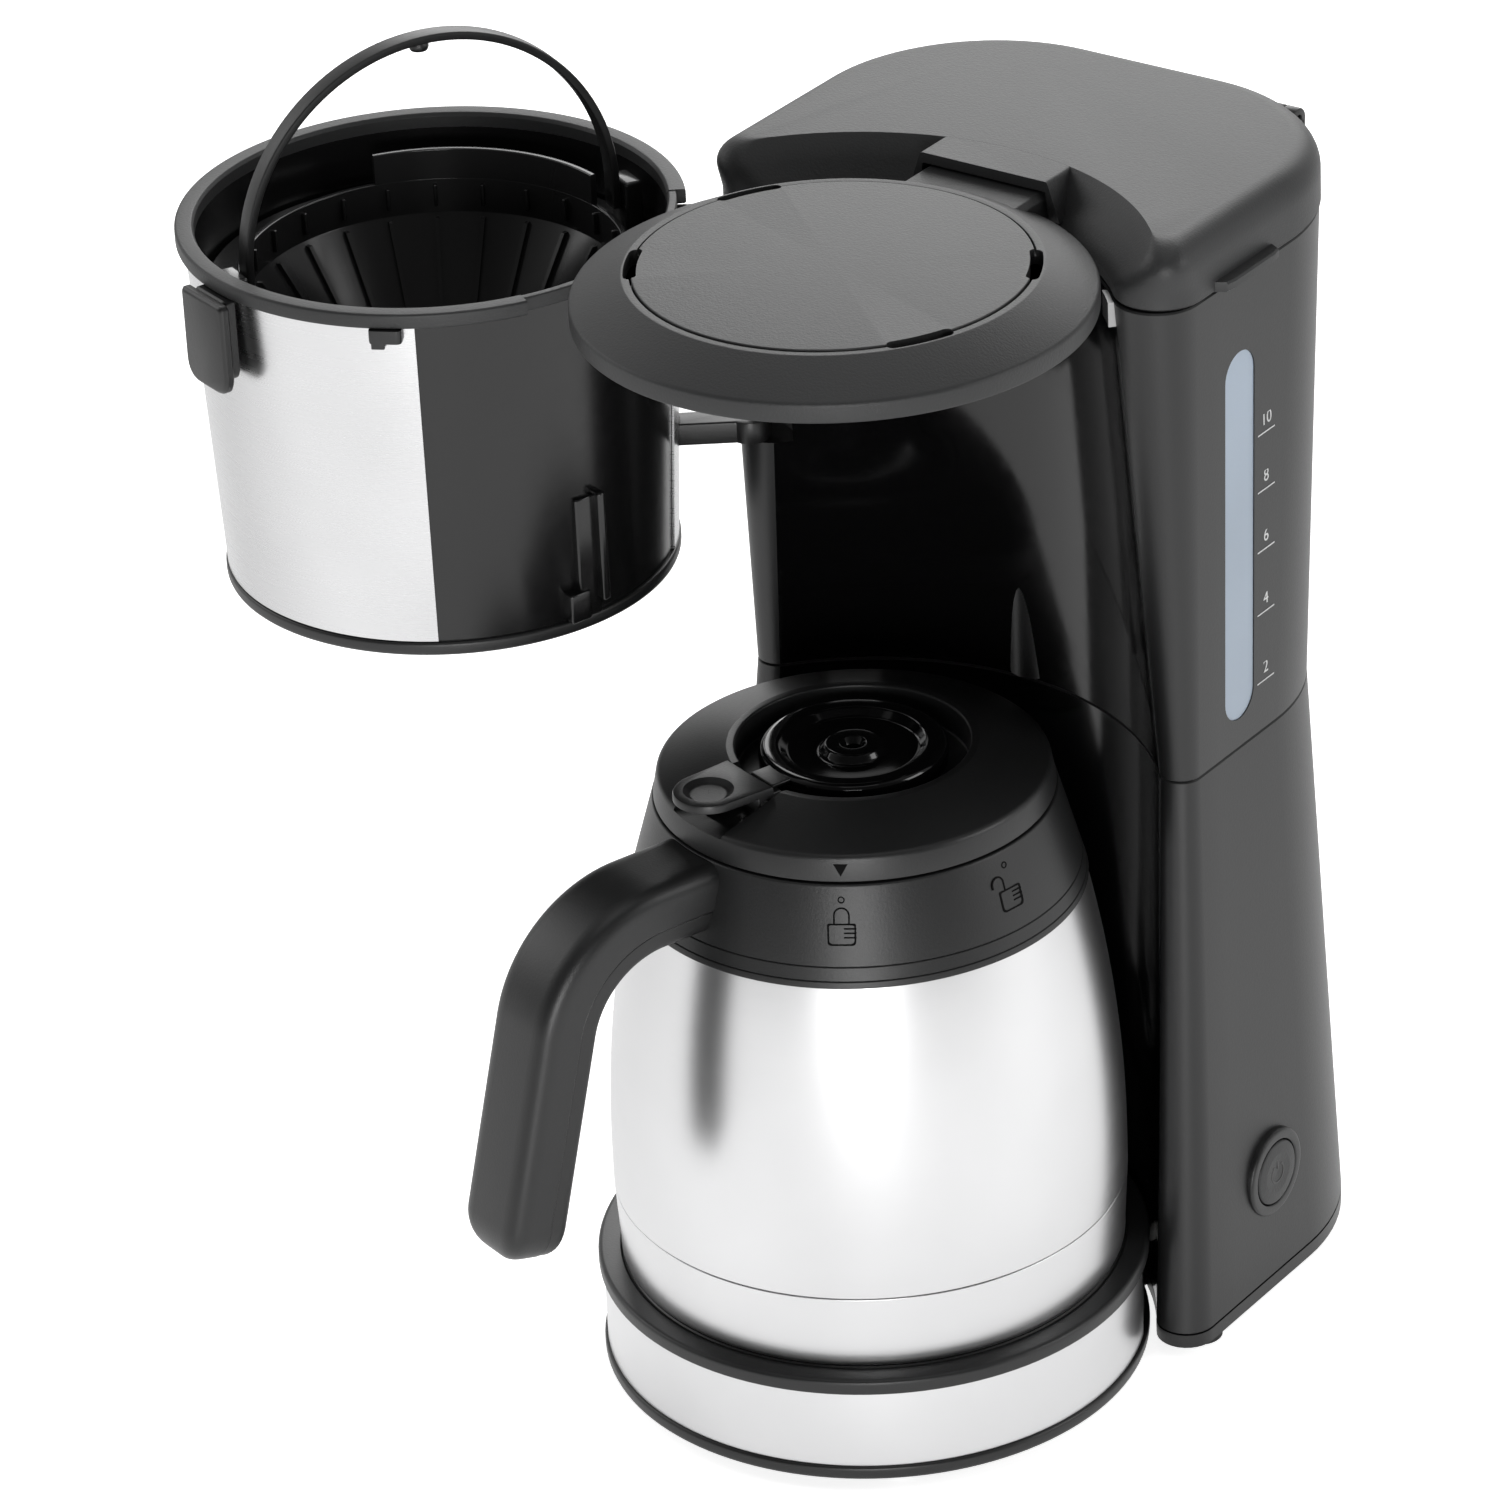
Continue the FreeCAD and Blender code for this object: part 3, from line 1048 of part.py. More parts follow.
wrap_low = s.bucket_floor + s.wrap_gap
wrap_high = s.bucket_top - s.wrap_gap
wrap_in_low = bucket_at(wrap_low) + s.seat_gap
wrap_in_high = bucket_at(wrap_high) + s.seat_gap
wrap = turned("wrap_turned", [(wrap_in_low, wrap_low), (wrap_in_low + s.wrap_sheet, wrap_low),
                              (wrap_in_high + s.wrap_sheet, wrap_high), (wrap_in_high, wrap_high)],
                              s.wrap_span)
wrap_centre = hinge_turn - s.wrap_lap.value + s.wrap_span.value / 2
arm_turn = hinge_turn - wrap_centre
arm_clear = []
for i, low in enumerate((lower_arm_low, upper_arm_low)):
    gate = block("wrap_gate_%d" % i, (s.bucket_low_radius, s.rim_radius), (-s.arm_half - s.clearance,
                 s.arm_half + s.clearance), (low - s.clearance, low + s.arm_height + s.clearance))
    gate.Placement = about_axis(arm_turn).multiply(gate.Placement)
    for axis in "xyz":
        gate.setExpression("Placement.Base.%s" % axis, None)
    arm_clear.append(gate)
node("steel_wrap", cut("steel_wrap", wrap, *arm_clear), opened(wrap_centre))

node("base_ring", turned("base_ring", [
    (s.base_ring_inner, s.base_ring_low), (s.base_ring_radius - s.stand_edge, s.base_ring_low),
    (s.base_ring_radius, s.base_ring_low + s.stand_edge), (s.base_ring_radius, s.bucket_floor),
    (s.base_ring_inner, s.bucket_floor)]), opened())

wrap_skin = turned("wrap_skin", [
    (0, wrap_low), (wrap_in_low + s.wrap_sheet + s.seat_gap, wrap_low),
    (wrap_in_high + s.wrap_sheet + s.seat_gap, wrap_high), (wrap_in_high + s.wrap_sheet + s.seat_gap,
                                                            s.bucket_top),
    (0, s.bucket_top)])
grip_top = block("grip_top", (s.bucket_low_radius, s.grip_reach), (-s.grip_half, s.grip_half),
                 (s.bucket_top - s.grip_thick, s.bucket_top))
grip_face = block("grip_face", (s.grip_reach - s.grip_thick, s.grip_reach), (-s.grip_half, s.grip_half),
                  (s.grip_low, s.bucket_top))
grip = cut("swing_grip", fuse("grip_blank", grip_top, grip_face), wrap_skin)
node("swing_grip", grip, opened(s.grip_centre))

catch_block = block("catch_block", (s.bucket_low_radius, s.catch_reach), (-s.catch_half, s.catch_half),
                    (s.catch_low, s.bucket_top))
node("rim_catch", cut("rim_catch", catch_block, wrap_skin), opened(s.catch_angle))

# Drip stop in the outlet nose
seal_top = floor_top + s.drip_seal_thick + s.seat_gap
stem = rod("drip_stem", s.stem_radius, seal_top - s.stem_low, z=s.stem_low)
drip_cap = rod("drip_cap", s.drip_head, s.drip_head_thick, z=seal_top)
node("drip_valve", fuse("drip_valve", stem, drip_cap), opened())
node("drip_seal", ring("drip_seal", s.drip_head, s.stem_radius, floor_top + s.seat_gap, s.drip_seal_thick),
     opened())
drip_spring_low = seal_top + s.drip_head_thick
node("drip_spring", ring("drip_spring", s.drip_spring_outer, s.drip_spring_outer - s.drip_spring_wire,
                         drip_spring_low, s.insert_floor - drip_spring_low), opened())

# Filter insert and bail
insert_floor_top = s.insert_floor + s.insert_wall
flange_low = s.ledge_top + s.seat_gap
flange_top = flange_low + s.insert_flange_thick
cone_inner_top = s.insert_cone_radius - s.insert_wall
cone_inner_low = s.insert_floor_radius - s.insert_wall
funnel = turned("insert_turned", [
    (s.insert_hole, s.insert_floor), (s.insert_floor_radius, s.insert_floor),
    (s.insert_cone_radius, s.insert_cone_top), (s.insert_radius, s.insert_cone_top), (s.insert_radius,
                                                                                      flange_low),
    (s.insert_flange, flange_low), (s.insert_flange, flange_top), (s.insert_radius - s.insert_wall,
                                                                   flange_top),
    (s.insert_radius - s.insert_wall, s.insert_cone_top + s.insert_wall),
    (cone_inner_top, s.insert_cone_top + s.insert_wall), (cone_inner_low, insert_floor_top),
    (s.insert_hole, insert_floor_top)])
ribs = []
overlap = s.insert_wall.value / 2
depth = s.insert_rib_depth.value
cone_slope = (cone_inner_top - cone_inner_low).value / (s.insert_cone_top - s.insert_floor).value
rib_low = V(cone_inner_low.value + cone_slope * depth, 0, insert_floor_top.value + depth)
rib_high = V(cone_inner_top.value - cone_slope * s.insert_wall.value, 0, s.insert_cone_top.value)
rib_flat = [rib_low + V(overlap, 0, 0), rib_high + V(overlap, 0, 0), rib_high - V(depth, 0, 0),
            rib_low - V(depth, 0, 0)]
rib_face = Part.Face(Part.makePolygon(rib_flat + rib_flat[:1]))
rib_plate = rib_face.extrude(V(0, 2 * s.insert_rib_half.value, 0))
rib_plate.translate(V(0, -s.insert_rib_half.value, 0))
count = int(s.insert_ribs.value)
for i in range(count):
    copy = rib_plate.copy()
    copy.rotate(V(0, 0, 0), UP, (i + 0.5) * 360 / count)
    ribs.append(copy)
rib_group = shaped("insert_rib_group", Part.makeCompound(ribs))
blocks, block_bores = [], []
block_inner = s.bail_radius + s.bail_strap / 2 + s.bail_play
for i, sign in enumerate((1, -1)):
    inner, outer = block_inner * sign, s.bail_block_reach * sign
    span = (inner, outer) if sign > 0 else (outer, inner)
    blocks.append(block("bail_block_%d" % i, span, (-s.bail_block_half, s.bail_block_half),
                        (flange_low, s.bail_axis + s.bail_block_half)))
    block_bores.append(rod("block_bore_%d" % i, s.bail_pin + s.pin_play, s.bail_block_reach - block_inner,
                           span[0], 0,
                           s.bail_axis, "X"))
insert_whole = fuse("insert_whole", funnel, rib_group, *blocks)
node("filter_insert", cut("filter_insert", insert_whole, *block_bores), opened(s.bail_angle))

arc_outer = s.bail_radius + s.bail_strap / 2
arc_inner = s.bail_radius - s.bail_strap / 2
arc_height = s.bail_top - arc_outer
hoop_blank = rod("hoop_blank", arc_outer, s.bail_width, 0, -s.bail_width / 2, arc_height, "Y")
hoop_bore = rod("hoop_bore", arc_inner, s.bail_width, 0, -s.bail_width / 2, arc_height, "Y")
hoop = cut("hoop", hoop_blank, hoop_bore)
upper = block("hoop_upper", (-arc_outer, arc_outer), (-s.bail_width / 2, s.bail_width / 2), (arc_height,
                                                                                             s.bail_top))
hoop_half = shared("hoop_half", hoop, upper)
legs = []
for i, sign in enumerate((1, -1)):
    low_x = arc_inner if sign > 0 else -arc_outer
    legs.append(block("bail_leg_%d" % i, (low_x, low_x + s.bail_strap), (-s.bail_width / 2, s.bail_width / 2),
                      (s.bail_axis, arc_height)))
    legs.append(rod("bail_eye_%d" % i, s.bail_width / 2, s.bail_strap, low_x, 0, s.bail_axis, "X"))
    pin_x = arc_inner if sign > 0 else -s.bail_pin_reach
    legs.append(rod("bail_pin_%d" % i, s.bail_pin, s.bail_pin_reach - arc_inner, pin_x, 0, s.bail_axis, "X"))
nub = rod("bail_nub", s.bail_pin, s.bail_strap, 0, 0, s.bail_top - s.bail_strap * 2)
node("bail", fuse("bail", hoop_half, nub, *legs), opened(s.bail_angle))

# Carafe
cup_in = s.carafe_radius - s.carafe_sheet
cup_floor = s.carafe_low + s.carafe_sheet
cup_mid = s.carafe_low + s.carafe_corner
node("carafe_cup", turned("carafe_cup", [
    (0, s.carafe_low), (s.carafe_low_radius, s.carafe_low, s.carafe_corner), (s.carafe_cup_radius, cup_mid),
    (s.carafe_radius, s.carafe_seam), (cup_in, s.carafe_seam), (s.carafe_cup_radius - s.carafe_sheet, cup_mid,
     -(s.carafe_corner - s.carafe_sheet)),
    (s.carafe_low_radius, cup_floor), (0, cup_floor)]))
node("carafe_shell", turned("carafe_shell", [
    (cup_in, s.carafe_seam), (s.carafe_radius, s.carafe_seam), (s.carafe_radius, s.carafe_bulge,
                                                                s.carafe_curve),
    (s.carafe_shell_radius, s.carafe_shell_top), (s.carafe_shell_radius - s.carafe_sheet, s.carafe_shell_top,
     -(s.carafe_curve - s.carafe_sheet)),
    (cup_in, s.carafe_bulge)]))
liner_in = s.liner_neck - s.carafe_sheet
node("carafe_liner", turned("carafe_liner", [
    (0, s.liner_floor), (s.liner_radius, s.liner_floor), (s.liner_radius, s.liner_shoulder),
    (s.liner_neck, s.liner_neck_low), (s.liner_neck, s.liner_top), (liner_in, s.liner_top),
    (liner_in, s.liner_neck_low), (s.liner_radius - s.carafe_sheet, s.liner_shoulder),
    (s.liner_radius - s.carafe_sheet, s.liner_floor + s.carafe_sheet), (0, s.liner_floor + s.carafe_sheet)]))
liner_seat = s.liner_floor - cup_floor
node("liner_spacer", ring("liner_spacer", s.liner_neck, s.liner_neck / 2, cup_floor, liner_seat))
collar = turned("carafe_collar", [
    (s.collar_skirt, s.carafe_shell_top), (s.collar_low_radius, s.carafe_shell_top),
    (s.collar_top_radius, s.collar_top), (s.collar_bore, s.collar_top), (s.collar_bore,
                                                                         s.liner_neck_low + s.cap_top
     - s.well_floor), (s.liner_neck, s.liner_neck_low + s.cap_top - s.well_floor), (s.liner_neck,
                                                                                    s.liner_neck_low)])
node("carafe_collar", collar)

collar_core = turned("collar_core", [
    (0, s.carafe_shell_top), (s.collar_low_radius, s.carafe_shell_top), (s.collar_top_radius, s.collar_top),
    (0, s.collar_top)])


def handle_half(low, high, half, rounding):
    """One half of the handle swept along its bent centre line."""
    lean = math.radians(s.handle_lean.value)
    root = V(s.collar_bore.value, 0, s.handle_root.value)
    turn = s.handle_bend.value
    bend_end = V(s.handle_straight.value + turn * math.cos(lean), 0,
                 s.handle_root.value - turn + turn * math.sin(lean))
    middle_turn = (math.pi / 2 + lean) / 2
    centre = V(s.handle_straight.value, 0, s.handle_root.value - turn)
    bend_mid = centre + V(math.cos(middle_turn), 0, math.sin(middle_turn)) * turn
    drop = bend_end.z - s.handle_low.value
    tip = bend_end + V(math.tan(lean) * drop, 0, -drop)
    straight = V(s.handle_straight.value, 0, s.handle_root.value)
    path = Part.Wire([Part.LineSegment(root, straight).toShape(), Part.Arc(straight, bend_mid,
                                                                           bend_end).toShape(),
                      Part.LineSegment(bend_end, tip).toShape()])
    x, z = root.x, root.z
    corners = [V(x, -half, z + low), V(x, half, z + low), V(x, half, z + high), V(x, -half, z + high)]
    wire = Part.makePolygon(corners + corners[:1])
    solid = path.makePipeShell([wire], True, False)
    long_edges = [e for e in solid.Edges if chosen(e, low, high, rounding)]
    return solid.makeFillet(s.handle_round.value, long_edges)


def chosen(edge, low, high, rounding):
    """Pick the long edges of a handle half that are rounded, on its outer or its inner side."""
    spot = edge.valueAt((edge.FirstParameter + edge.LastParameter) / 2)
    ends = [v.Point for v in edge.Vertexes]
    if len(ends) < 2 or abs(ends[0].y - ends[1].y) > s.clearance.value:
        return False
    if (ends[0] - ends[1]).Length < s.handle_thick.value * 1.1:
        return False
    centre = V(s.handle_straight.value, 0, s.handle_root.value - s.handle_bend.value)
    lean = math.radians(s.handle_lean.value)
    if spot.x < s.handle_straight.value:
        level = spot.z - s.handle_root.value
    elif spot.z > centre.z + s.handle_bend.value * math.sin(lean) - s.handle_bend.value / 2:
        level = math.hypot(spot.x - centre.x, spot.z - centre.z) - s.handle_bend.value
    else:
        level = (spot.x - centre.x) * math.cos(lean) + (spot.z - centre.z) * math.sin(lean) - s.handle_bend.value
    target = high if rounding == "outer" else low
    return abs(level - target) < s.clearance.value


half_thick = s.handle_thick.value / 2
split = -half_thick + s.handle_split.value
outer_half = shaped("handle_outer_blank", handle_half(split, half_thick, s.handle_half.value, "outer"))
inner_half = shaped("handle_inner_blank", handle_half(-half_thick, split,
                                                      s.handle_half.value - s.handle_inset.value,
                                                      "inner"))
turned_handle = about_axis(s.handle_angle)
node("handle_outer", cut("handle_outer", outer_half, collar_core), turned_handle)
node("handle_inner", cut("handle_inner", inner_half, collar_core), turned_handle)

# Carafe lid, drawn with its lever along +X
cap_low = s.collar_top + s.cap_gap
floor_low = s.well_floor - s.cap_wall
cap_turned = turned("cap_turned", [
    (s.cap_low_radius, cap_low), (s.cap_skirt_radius, s.cap_skirt_top), (s.well_rim, s.cap_top),
    (s.well_radius, s.cap_top), (s.well_radius, s.well_floor), (s.well_hole, s.well_floor), (s.well_hole,
                                                                                             floor_low),
    (s.well_radius + s.cap_wall, floor_low), (s.well_radius + s.cap_wall, s.cap_top - s.cap_wall),
    (s.cap_skirt_radius - s.cap_wall, s.cap_skirt_top - s.cap_wall), (s.cap_low_radius - s.cap_wall,
                                                                      cap_low)])
lever_low = s.lever_axis_height + s.lever_rise
lever_top = lever_low + s.lever_thick
lever_tip_low = s.lever_axis_height - s.lever_tip_drop
cheek_end = lesser(s.cheek_low, s.lever_axis_height - s.cheek_drop)
room_low = lesser(floor_low, cheek_end)
cheeks, posts = [], []
cheek_room = turned("cheek_room", [
    (s.well_radius, room_low), (s.cap_skirt_radius, room_low), (s.cap_skirt_radius, s.cap_skirt_top),
    (s.well_rim, s.cap_top), (s.well_radius, s.cap_top)])
for i, sign in enumerate((1, -1)):
    near = s.lever_slot_half * sign
    far = (s.lever_slot_half + s.cheek_width) * sign
    span = (near, far) if sign > 0 else (far, near)
    cheeks.append(block("cheek_%d" % i, (s.well_rim - s.cap_wall, s.lever_axis + s.cap_wall * 2), span,
                        (cheek_end, s.cap_top)))
    posts.append(block("cheek_post_%d" % i, (s.well_rim, s.lever_axis + s.cap_wall), span,
                       (cheek_end, s.lever_axis_height)))
cheek_group = shared("cheek_group", fuse("cheek_blank", *cheeks), cheek_room)
slot_tool = block("lever_slot", (s.lever_tip - s.clearance, s.lever_slot_end), (-s.lever_slot_half,
                                                                                s.lever_slot_half),
                  (s.lever_axis_height - s.lever_slot_drop, lever_top))
pin_reach = s.lever_slot_half + s.cheek_width
lever_bore = rod("cheek_bore", s.lever_pin_radius, pin_reach * 2, s.lever_axis, -pin_reach,
                 s.lever_axis_height, "Y")
cap_whole = fuse("cap_whole", cap_turned, cheek_group, *posts)
node("lid_shell", cut("lid_shell", cap_whole, slot_tool, lever_bore), turned_handle)

flange_thick = s.cap_wall
plug_top = floor_low
node("lid_plug", turned("lid_plug", [
    (s.well_radius - s.cap_wall, plug_top - flange_thick), (s.plug_radius - s.plug_wall,
                                                            plug_top - flange_thick),
    (s.plug_radius - s.plug_wall, s.plug_low), (s.plug_radius, s.plug_low), (s.plug_radius, s.gasket_low),
    (s.plug_radius - s.plug_wall / 2, s.gasket_low), (s.plug_radius - s.plug_wall / 2,
                                                      s.gasket_low + s.gasket_height),
    (s.plug_radius, s.gasket_low + s.gasket_height), (s.plug_radius, plug_top),
    (s.well_radius - s.cap_wall, plug_top)]))
node("lid_gasket", ring("lid_gasket", s.gasket_radius, s.plug_radius - s.plug_wall / 2, s.gasket_low,
                        s.gasket_height))

puck_round = turned("puck_round", [
    (s.puck_hole, s.puck_stem_low), (s.puck_stem, s.puck_stem_low), (s.puck_stem, s.puck_low),
    (s.puck_radius, s.puck_low), (s.puck_radius, s.puck_top - s.stand_edge), (s.puck_radius - s.stand_edge,
                                                                              s.puck_top),
    (s.puck_dish, s.puck_top), (s.puck_hole, s.puck_top - s.puck_dish_depth)])
ear_bar = block("puck_ear", (s.puck_dish, s.puck_ear), (-s.puck_ear_half, s.puck_ear_half),
                (s.puck_top - s.puck_ear_thick, s.puck_top))
node("pour_puck", fuse("pour_puck", puck_round, ear_bar), turned_handle)
node("puck_seal", ring("puck_seal", s.puck_seal_outer, s.puck_seal_inner, s.well_floor + s.seat_gap,
                       s.puck_low - s.well_floor - s.seat_gap))

plate = block("lever_plate", (s.well_rim, s.lever_pad), (-s.lever_half, s.lever_half), (lever_low, lever_top))
pad = rod("lever_pad_end", s.lever_half, s.lever_thick, s.lever_pad, 0, lever_low)
tip = block("lever_tip_bar", (s.lever_tip, s.lever_axis), (-s.lever_tip_half, s.lever_tip_half),
            (lever_tip_low, lever_tip_low + s.lever_tip_thick))
hub = block("lever_hub", (s.well_rim, s.lever_axis + s.cap_wall), (-s.lever_half, s.lever_half),
            (lever_tip_low, lever_low))
lever_hole = rod("lever_hole", s.lever_pin_radius + s.pin_play, s.lever_half * 2, s.lever_axis, -s.lever_half,
                 s.lever_axis_height, "Y")
node("thumb_lever", cut("thumb_lever", fuse("lever_blank", plate, pad, tip, hub), lever_hole), turned_handle)
node("lever_pin", rod("lever_pin", s.lever_pin_radius, pin_reach * 2, s.lever_axis, -pin_reach,
                      s.lever_axis_height, "Y"))
lever_pin = NODES[-1]
for axis in "xyz":
    lever_pin.setExpression("Placement.Base.%s" % axis, None)
lever_pin.Placement = turned_handle.multiply(lever_pin.Placement)

# Check and export
doc.recompute()
faults = ["%s: %s" % (obj.Label, obj.State) for obj in doc.Objects if {"Invalid", "Error"} & set(obj.State)]
for obj in NODES:
    if obj.Shape.isNull() or not obj.Shape.isValid() or not obj.Shape.Solids:
        faults.append("%s: shape" % obj.Label)
if faults:
    raise SystemExit("faults: %s" % faults)
os.makedirs("parts", exist_ok=True)
for obj in NODES:
    obj.Shape.exportStep("parts/%s.step" % obj.Label)
    box = obj.Shape.BoundBox
    print("%-16s solids %2d volume %10.1f x %.1f %.1f y %.1f %.1f z %.1f %.1f" % (
        obj.Label, len(obj.Shape.Solids), obj.Shape.Volume, box.XMin, box.XMax, box.YMin, box.YMax, box.ZMin,
        box.ZMax))
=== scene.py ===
"""Drip coffee maker with a thermal carafe and a swing-out filter, dressed over its CAD frame."""

import logging
import math
from dataclasses import dataclass, replace
from enum import Enum
from typing import Iterable, Sequence

import bmesh
import bpy
from mathutils import Matrix, Vector


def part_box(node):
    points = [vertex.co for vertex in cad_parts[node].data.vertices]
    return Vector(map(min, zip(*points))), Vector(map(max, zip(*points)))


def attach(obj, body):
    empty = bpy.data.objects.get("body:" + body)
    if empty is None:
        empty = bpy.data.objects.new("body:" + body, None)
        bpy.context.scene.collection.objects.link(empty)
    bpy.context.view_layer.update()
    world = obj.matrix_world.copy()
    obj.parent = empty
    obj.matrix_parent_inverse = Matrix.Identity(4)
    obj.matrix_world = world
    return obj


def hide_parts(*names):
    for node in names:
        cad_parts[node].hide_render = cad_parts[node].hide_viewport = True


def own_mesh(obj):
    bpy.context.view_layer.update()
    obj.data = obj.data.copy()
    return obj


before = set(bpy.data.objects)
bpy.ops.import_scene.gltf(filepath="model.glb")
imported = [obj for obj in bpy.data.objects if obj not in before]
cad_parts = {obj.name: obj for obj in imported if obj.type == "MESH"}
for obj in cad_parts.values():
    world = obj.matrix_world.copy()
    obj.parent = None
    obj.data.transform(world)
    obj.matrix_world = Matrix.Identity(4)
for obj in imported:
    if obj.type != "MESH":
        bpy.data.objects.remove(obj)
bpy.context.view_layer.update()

LOG = logging.getLogger("coffee_maker")
MM = 0.001
SMOOTH_ANGLE = math.radians(32)
MERGE_REACH = 2e-6
KEY_GRID = 1e7
# Radius in millimetres of a profile's end on its axis.
AXIS = 0.01
QUARTER = math.pi / 2
Point = tuple[float, float]
Loop = list[Vector]
Tree = bpy.types.NodeTree
Socket = bpy.types.NodeSocket
Piece = bpy.types.Object


def add_node(tree: Tree, kind: str, values: dict[str | int, object], links: dict[str | int, Socket],
             operation: str = "") -> bpy.types.Node:
    """Add a shader node with its fixed inputs and its links.

    Args:
        tree: The nodes to add to.
        kind: What follows "ShaderNode" in the node's type.
        values: Fixed inputs, by name or number.
        links: Sockets that feed its inputs, by name or number.
        operation: What a mathematical node works out.

    Returns:
        The new node.
    """
    made = tree.nodes.new("ShaderNode" + kind)
    if operation:
        made.operation = operation
    for name, value in values.items():
        made.inputs[name].default_value = value
    for name, socket in links.items():
        tree.links.new(socket, made.inputs[name])
    return made


COAT_ROUGHNESS = 0.08
FINE_DETAIL = 3.0
BROAD_SCALE = 22.0
BROAD_DETAIL = 2.0
ROUGHNESS_SPREAD = 0.04
BUMP_DEPTH = 0.0003
BRUSH_STRETCH = (0.012, 0.012, 1.0)


class Texture(Enum):
    """Kinds of surface detail."""

    GRAIN = "fine moulded grain"
    SATIN = "smooth satin moulding"
    GLOSS = "polished moulding"
    BRUSHED = "steel brushed round its axis"
    CLEAR = "frosted clear moulding"


@dataclass(frozen=True)
class Finish:
    """One finish and the record slot that it belongs to."""

    name: str
    slot: str
    colour: tuple[float, float, float]
    roughness: float
    texture: Texture
    metallic: float = 0.0
    coat: float = 0.0
    bump: float = 0.12
    scale: float = 1500.0
    variation: float = 0.06
    axis: tuple[float, float] = (0.0, 0.0)
    specular: float = 0.5

    def material(self) -> bpy.types.Material:
        """Build the node material once and reuse it.

        Returns:
            The Blender material of this finish.
        """
        known = bpy.data.materials.get(self.name)
        if known is not None:
            return known
        mat = bpy.data.materials.new(self.name)
        mat.use_nodes = True
        tree = mat.node_tree
        shader = tree.nodes["Principled BSDF"]
        shader.inputs["Metallic"].default_value = self.metallic
        shader.inputs["Specular IOR Level"].default_value = self.specular
        shader.inputs["Coat Weight"].default_value = self.coat
        shader.inputs["Coat Roughness"].default_value = COAT_ROUGHNESS
        coords = add_node(tree, "TexCoord", {}, {})
        centred = {"Location": (-self.axis[0], -self.axis[1], 0.0)}
        mapping = add_node(tree, "Mapping", centred, {"Vector": coords.outputs["Object"]})
        vector = mapping.outputs["Vector"]
        fine = self._noise(tree, self._vector(tree, vector), self.scale, FINE_DETAIL)
        self._spread(tree, self._noise(tree, vector, BROAD_SCALE, BROAD_DETAIL), shader)
        limits = {"To Min": max(self.roughness - ROUGHNESS_SPREAD, 0.02),
                  "To Max": min(self.roughness + ROUGHNESS_SPREAD, 1.0)}
        rough = add_node(tree, "MapRange", limits, {"Value": fine})
        tree.links.new(rough.outputs["Result"], shader.inputs["Roughness"])
        bump = add_node(tree, "Bump", {"Strength": self.bump, "Distance": BUMP_DEPTH}, {"Height": fine})
        tree.links.new(bump.outputs["Normal"], shader.inputs["Normal"])
        if self.texture is Texture.CLEAR:
            shader.inputs["Transmission Weight"].default_value = 0.25
            shader.inputs["Subsurface Weight"].default_value = 0.2
            shader.inputs["Subsurface Radius"].default_value = (0.004, 0.004, 0.004)
        return mat

    def _vector(self, tree: Tree, vector: Socket) -> Socket:
        """Stretch the fine pattern for brushed steel.

        Args:
            tree: The material's nodes.
            vector: The centred coordinates.

        Returns:
            The socket that the fine pattern reads.
        """
        if self.texture is not Texture.BRUSHED:
            return vector
        stretch = add_node(tree, "Mapping", {"Scale": BRUSH_STRETCH}, {"Vector": vector})
        return stretch.outputs["Vector"]

    def _noise(self, tree: Tree, vector: Socket, scale: float, detail: float) -> Socket:
        """Add a noise pattern.

        Args:
            tree: The material's nodes.
            vector: Where the pattern is read.
            scale: Its scale per metre.
            detail: Its octaves.

        Returns:
            The pattern's value socket.
        """
        noise = add_node(tree, "TexNoise", {"Scale": scale, "Detail": detail}, {"Vector": vector})
        return noise.outputs["Fac"]

    def _spread(self, tree: Tree, value: Socket, shader: bpy.types.Node) -> None:
        """Vary the colour a little over the piece.

        Args:
            tree: The material's nodes.
            value: The broad pattern.
            shader: The surface shader.
        """
        ramp = add_node(tree, "ValToRGB", {}, {"Fac": value})
        low, high = ramp.color_ramp.elements
        low.position, high.position = 0.3, 0.7
        low.color = (*[c * (1 - self.variation) for c in self.colour], 1.0)
        high.color = (*[min(c * (1 + self.variation), 1.0) for c in self.colour], 1.0)
        tree.links.new(ramp.outputs["Color"], shader.inputs["Base Color"])


OPEN_CENTRE = (-0.133, 0.0)
GRAIN = Finish("grained_anthracite", "plastic_satin", (0.022, 0.0225, 0.023), 0.5, Texture.GRAIN, bump=0.3)
SATIN = Finish("satin_anthracite", "plastic_satin", (0.0105, 0.0107, 0.011), 0.4, Texture.SATIN, bump=0.12)
DARK = Finish("satin_black", "plastic_black", (0.007, 0.007, 0.0072), 0.38, Texture.SATIN, bump=0.1)
GLOSS = Finish("gloss_black", "plastic_gloss", (0.003, 0.003, 0.0032), 0.1, Texture.GLOSS,
               bump=0.015, scale=260.0, specular=0.42)
STEEL = Finish("brushed_steel", "steel_brushed", (0.66, 0.66, 0.665), 0.3, Texture.BRUSHED,
               metallic=1.0, bump=0.04, scale=2600.0, variation=0.03)
# Wrap steel: brushed round the open filter's axis, with a colour set below the carafe steel's as painted
# shade that dims the floor glow it reflects.
STEEL_WRAP_SHADED = Finish("brushed_steel_wrap_shaded", "steel_brushed", (0.6, 0.6, 0.605), 0.28, Texture.BRUSHED,
                    metallic=1.0, bump=0.03, scale=2600.0, variation=0.03, axis=OPEN_CENTRE)
BUCKET = Finish("bucket_black", "plastic_gloss", (0.006, 0.006, 0.0062), 0.22, Texture.GLOSS,
                bump=0.02, scale=260.0)
INSERT = Finish("insert_black", "plastic_gloss", (0.018, 0.018, 0.0184), 0.2, Texture.GLOSS,
                bump=0.02, scale=260.0)
LINER = Finish("liner_steel", "steel_liner", (0.6, 0.6, 0.6), 0.25, Texture.BRUSHED, metallic=1.0,
               scale=1800.0)
PIN = Finish("pin_steel", "steel_pin", (0.3, 0.3, 0.3), 0.35, Texture.BRUSHED, metallic=1.0, scale=3000.0)
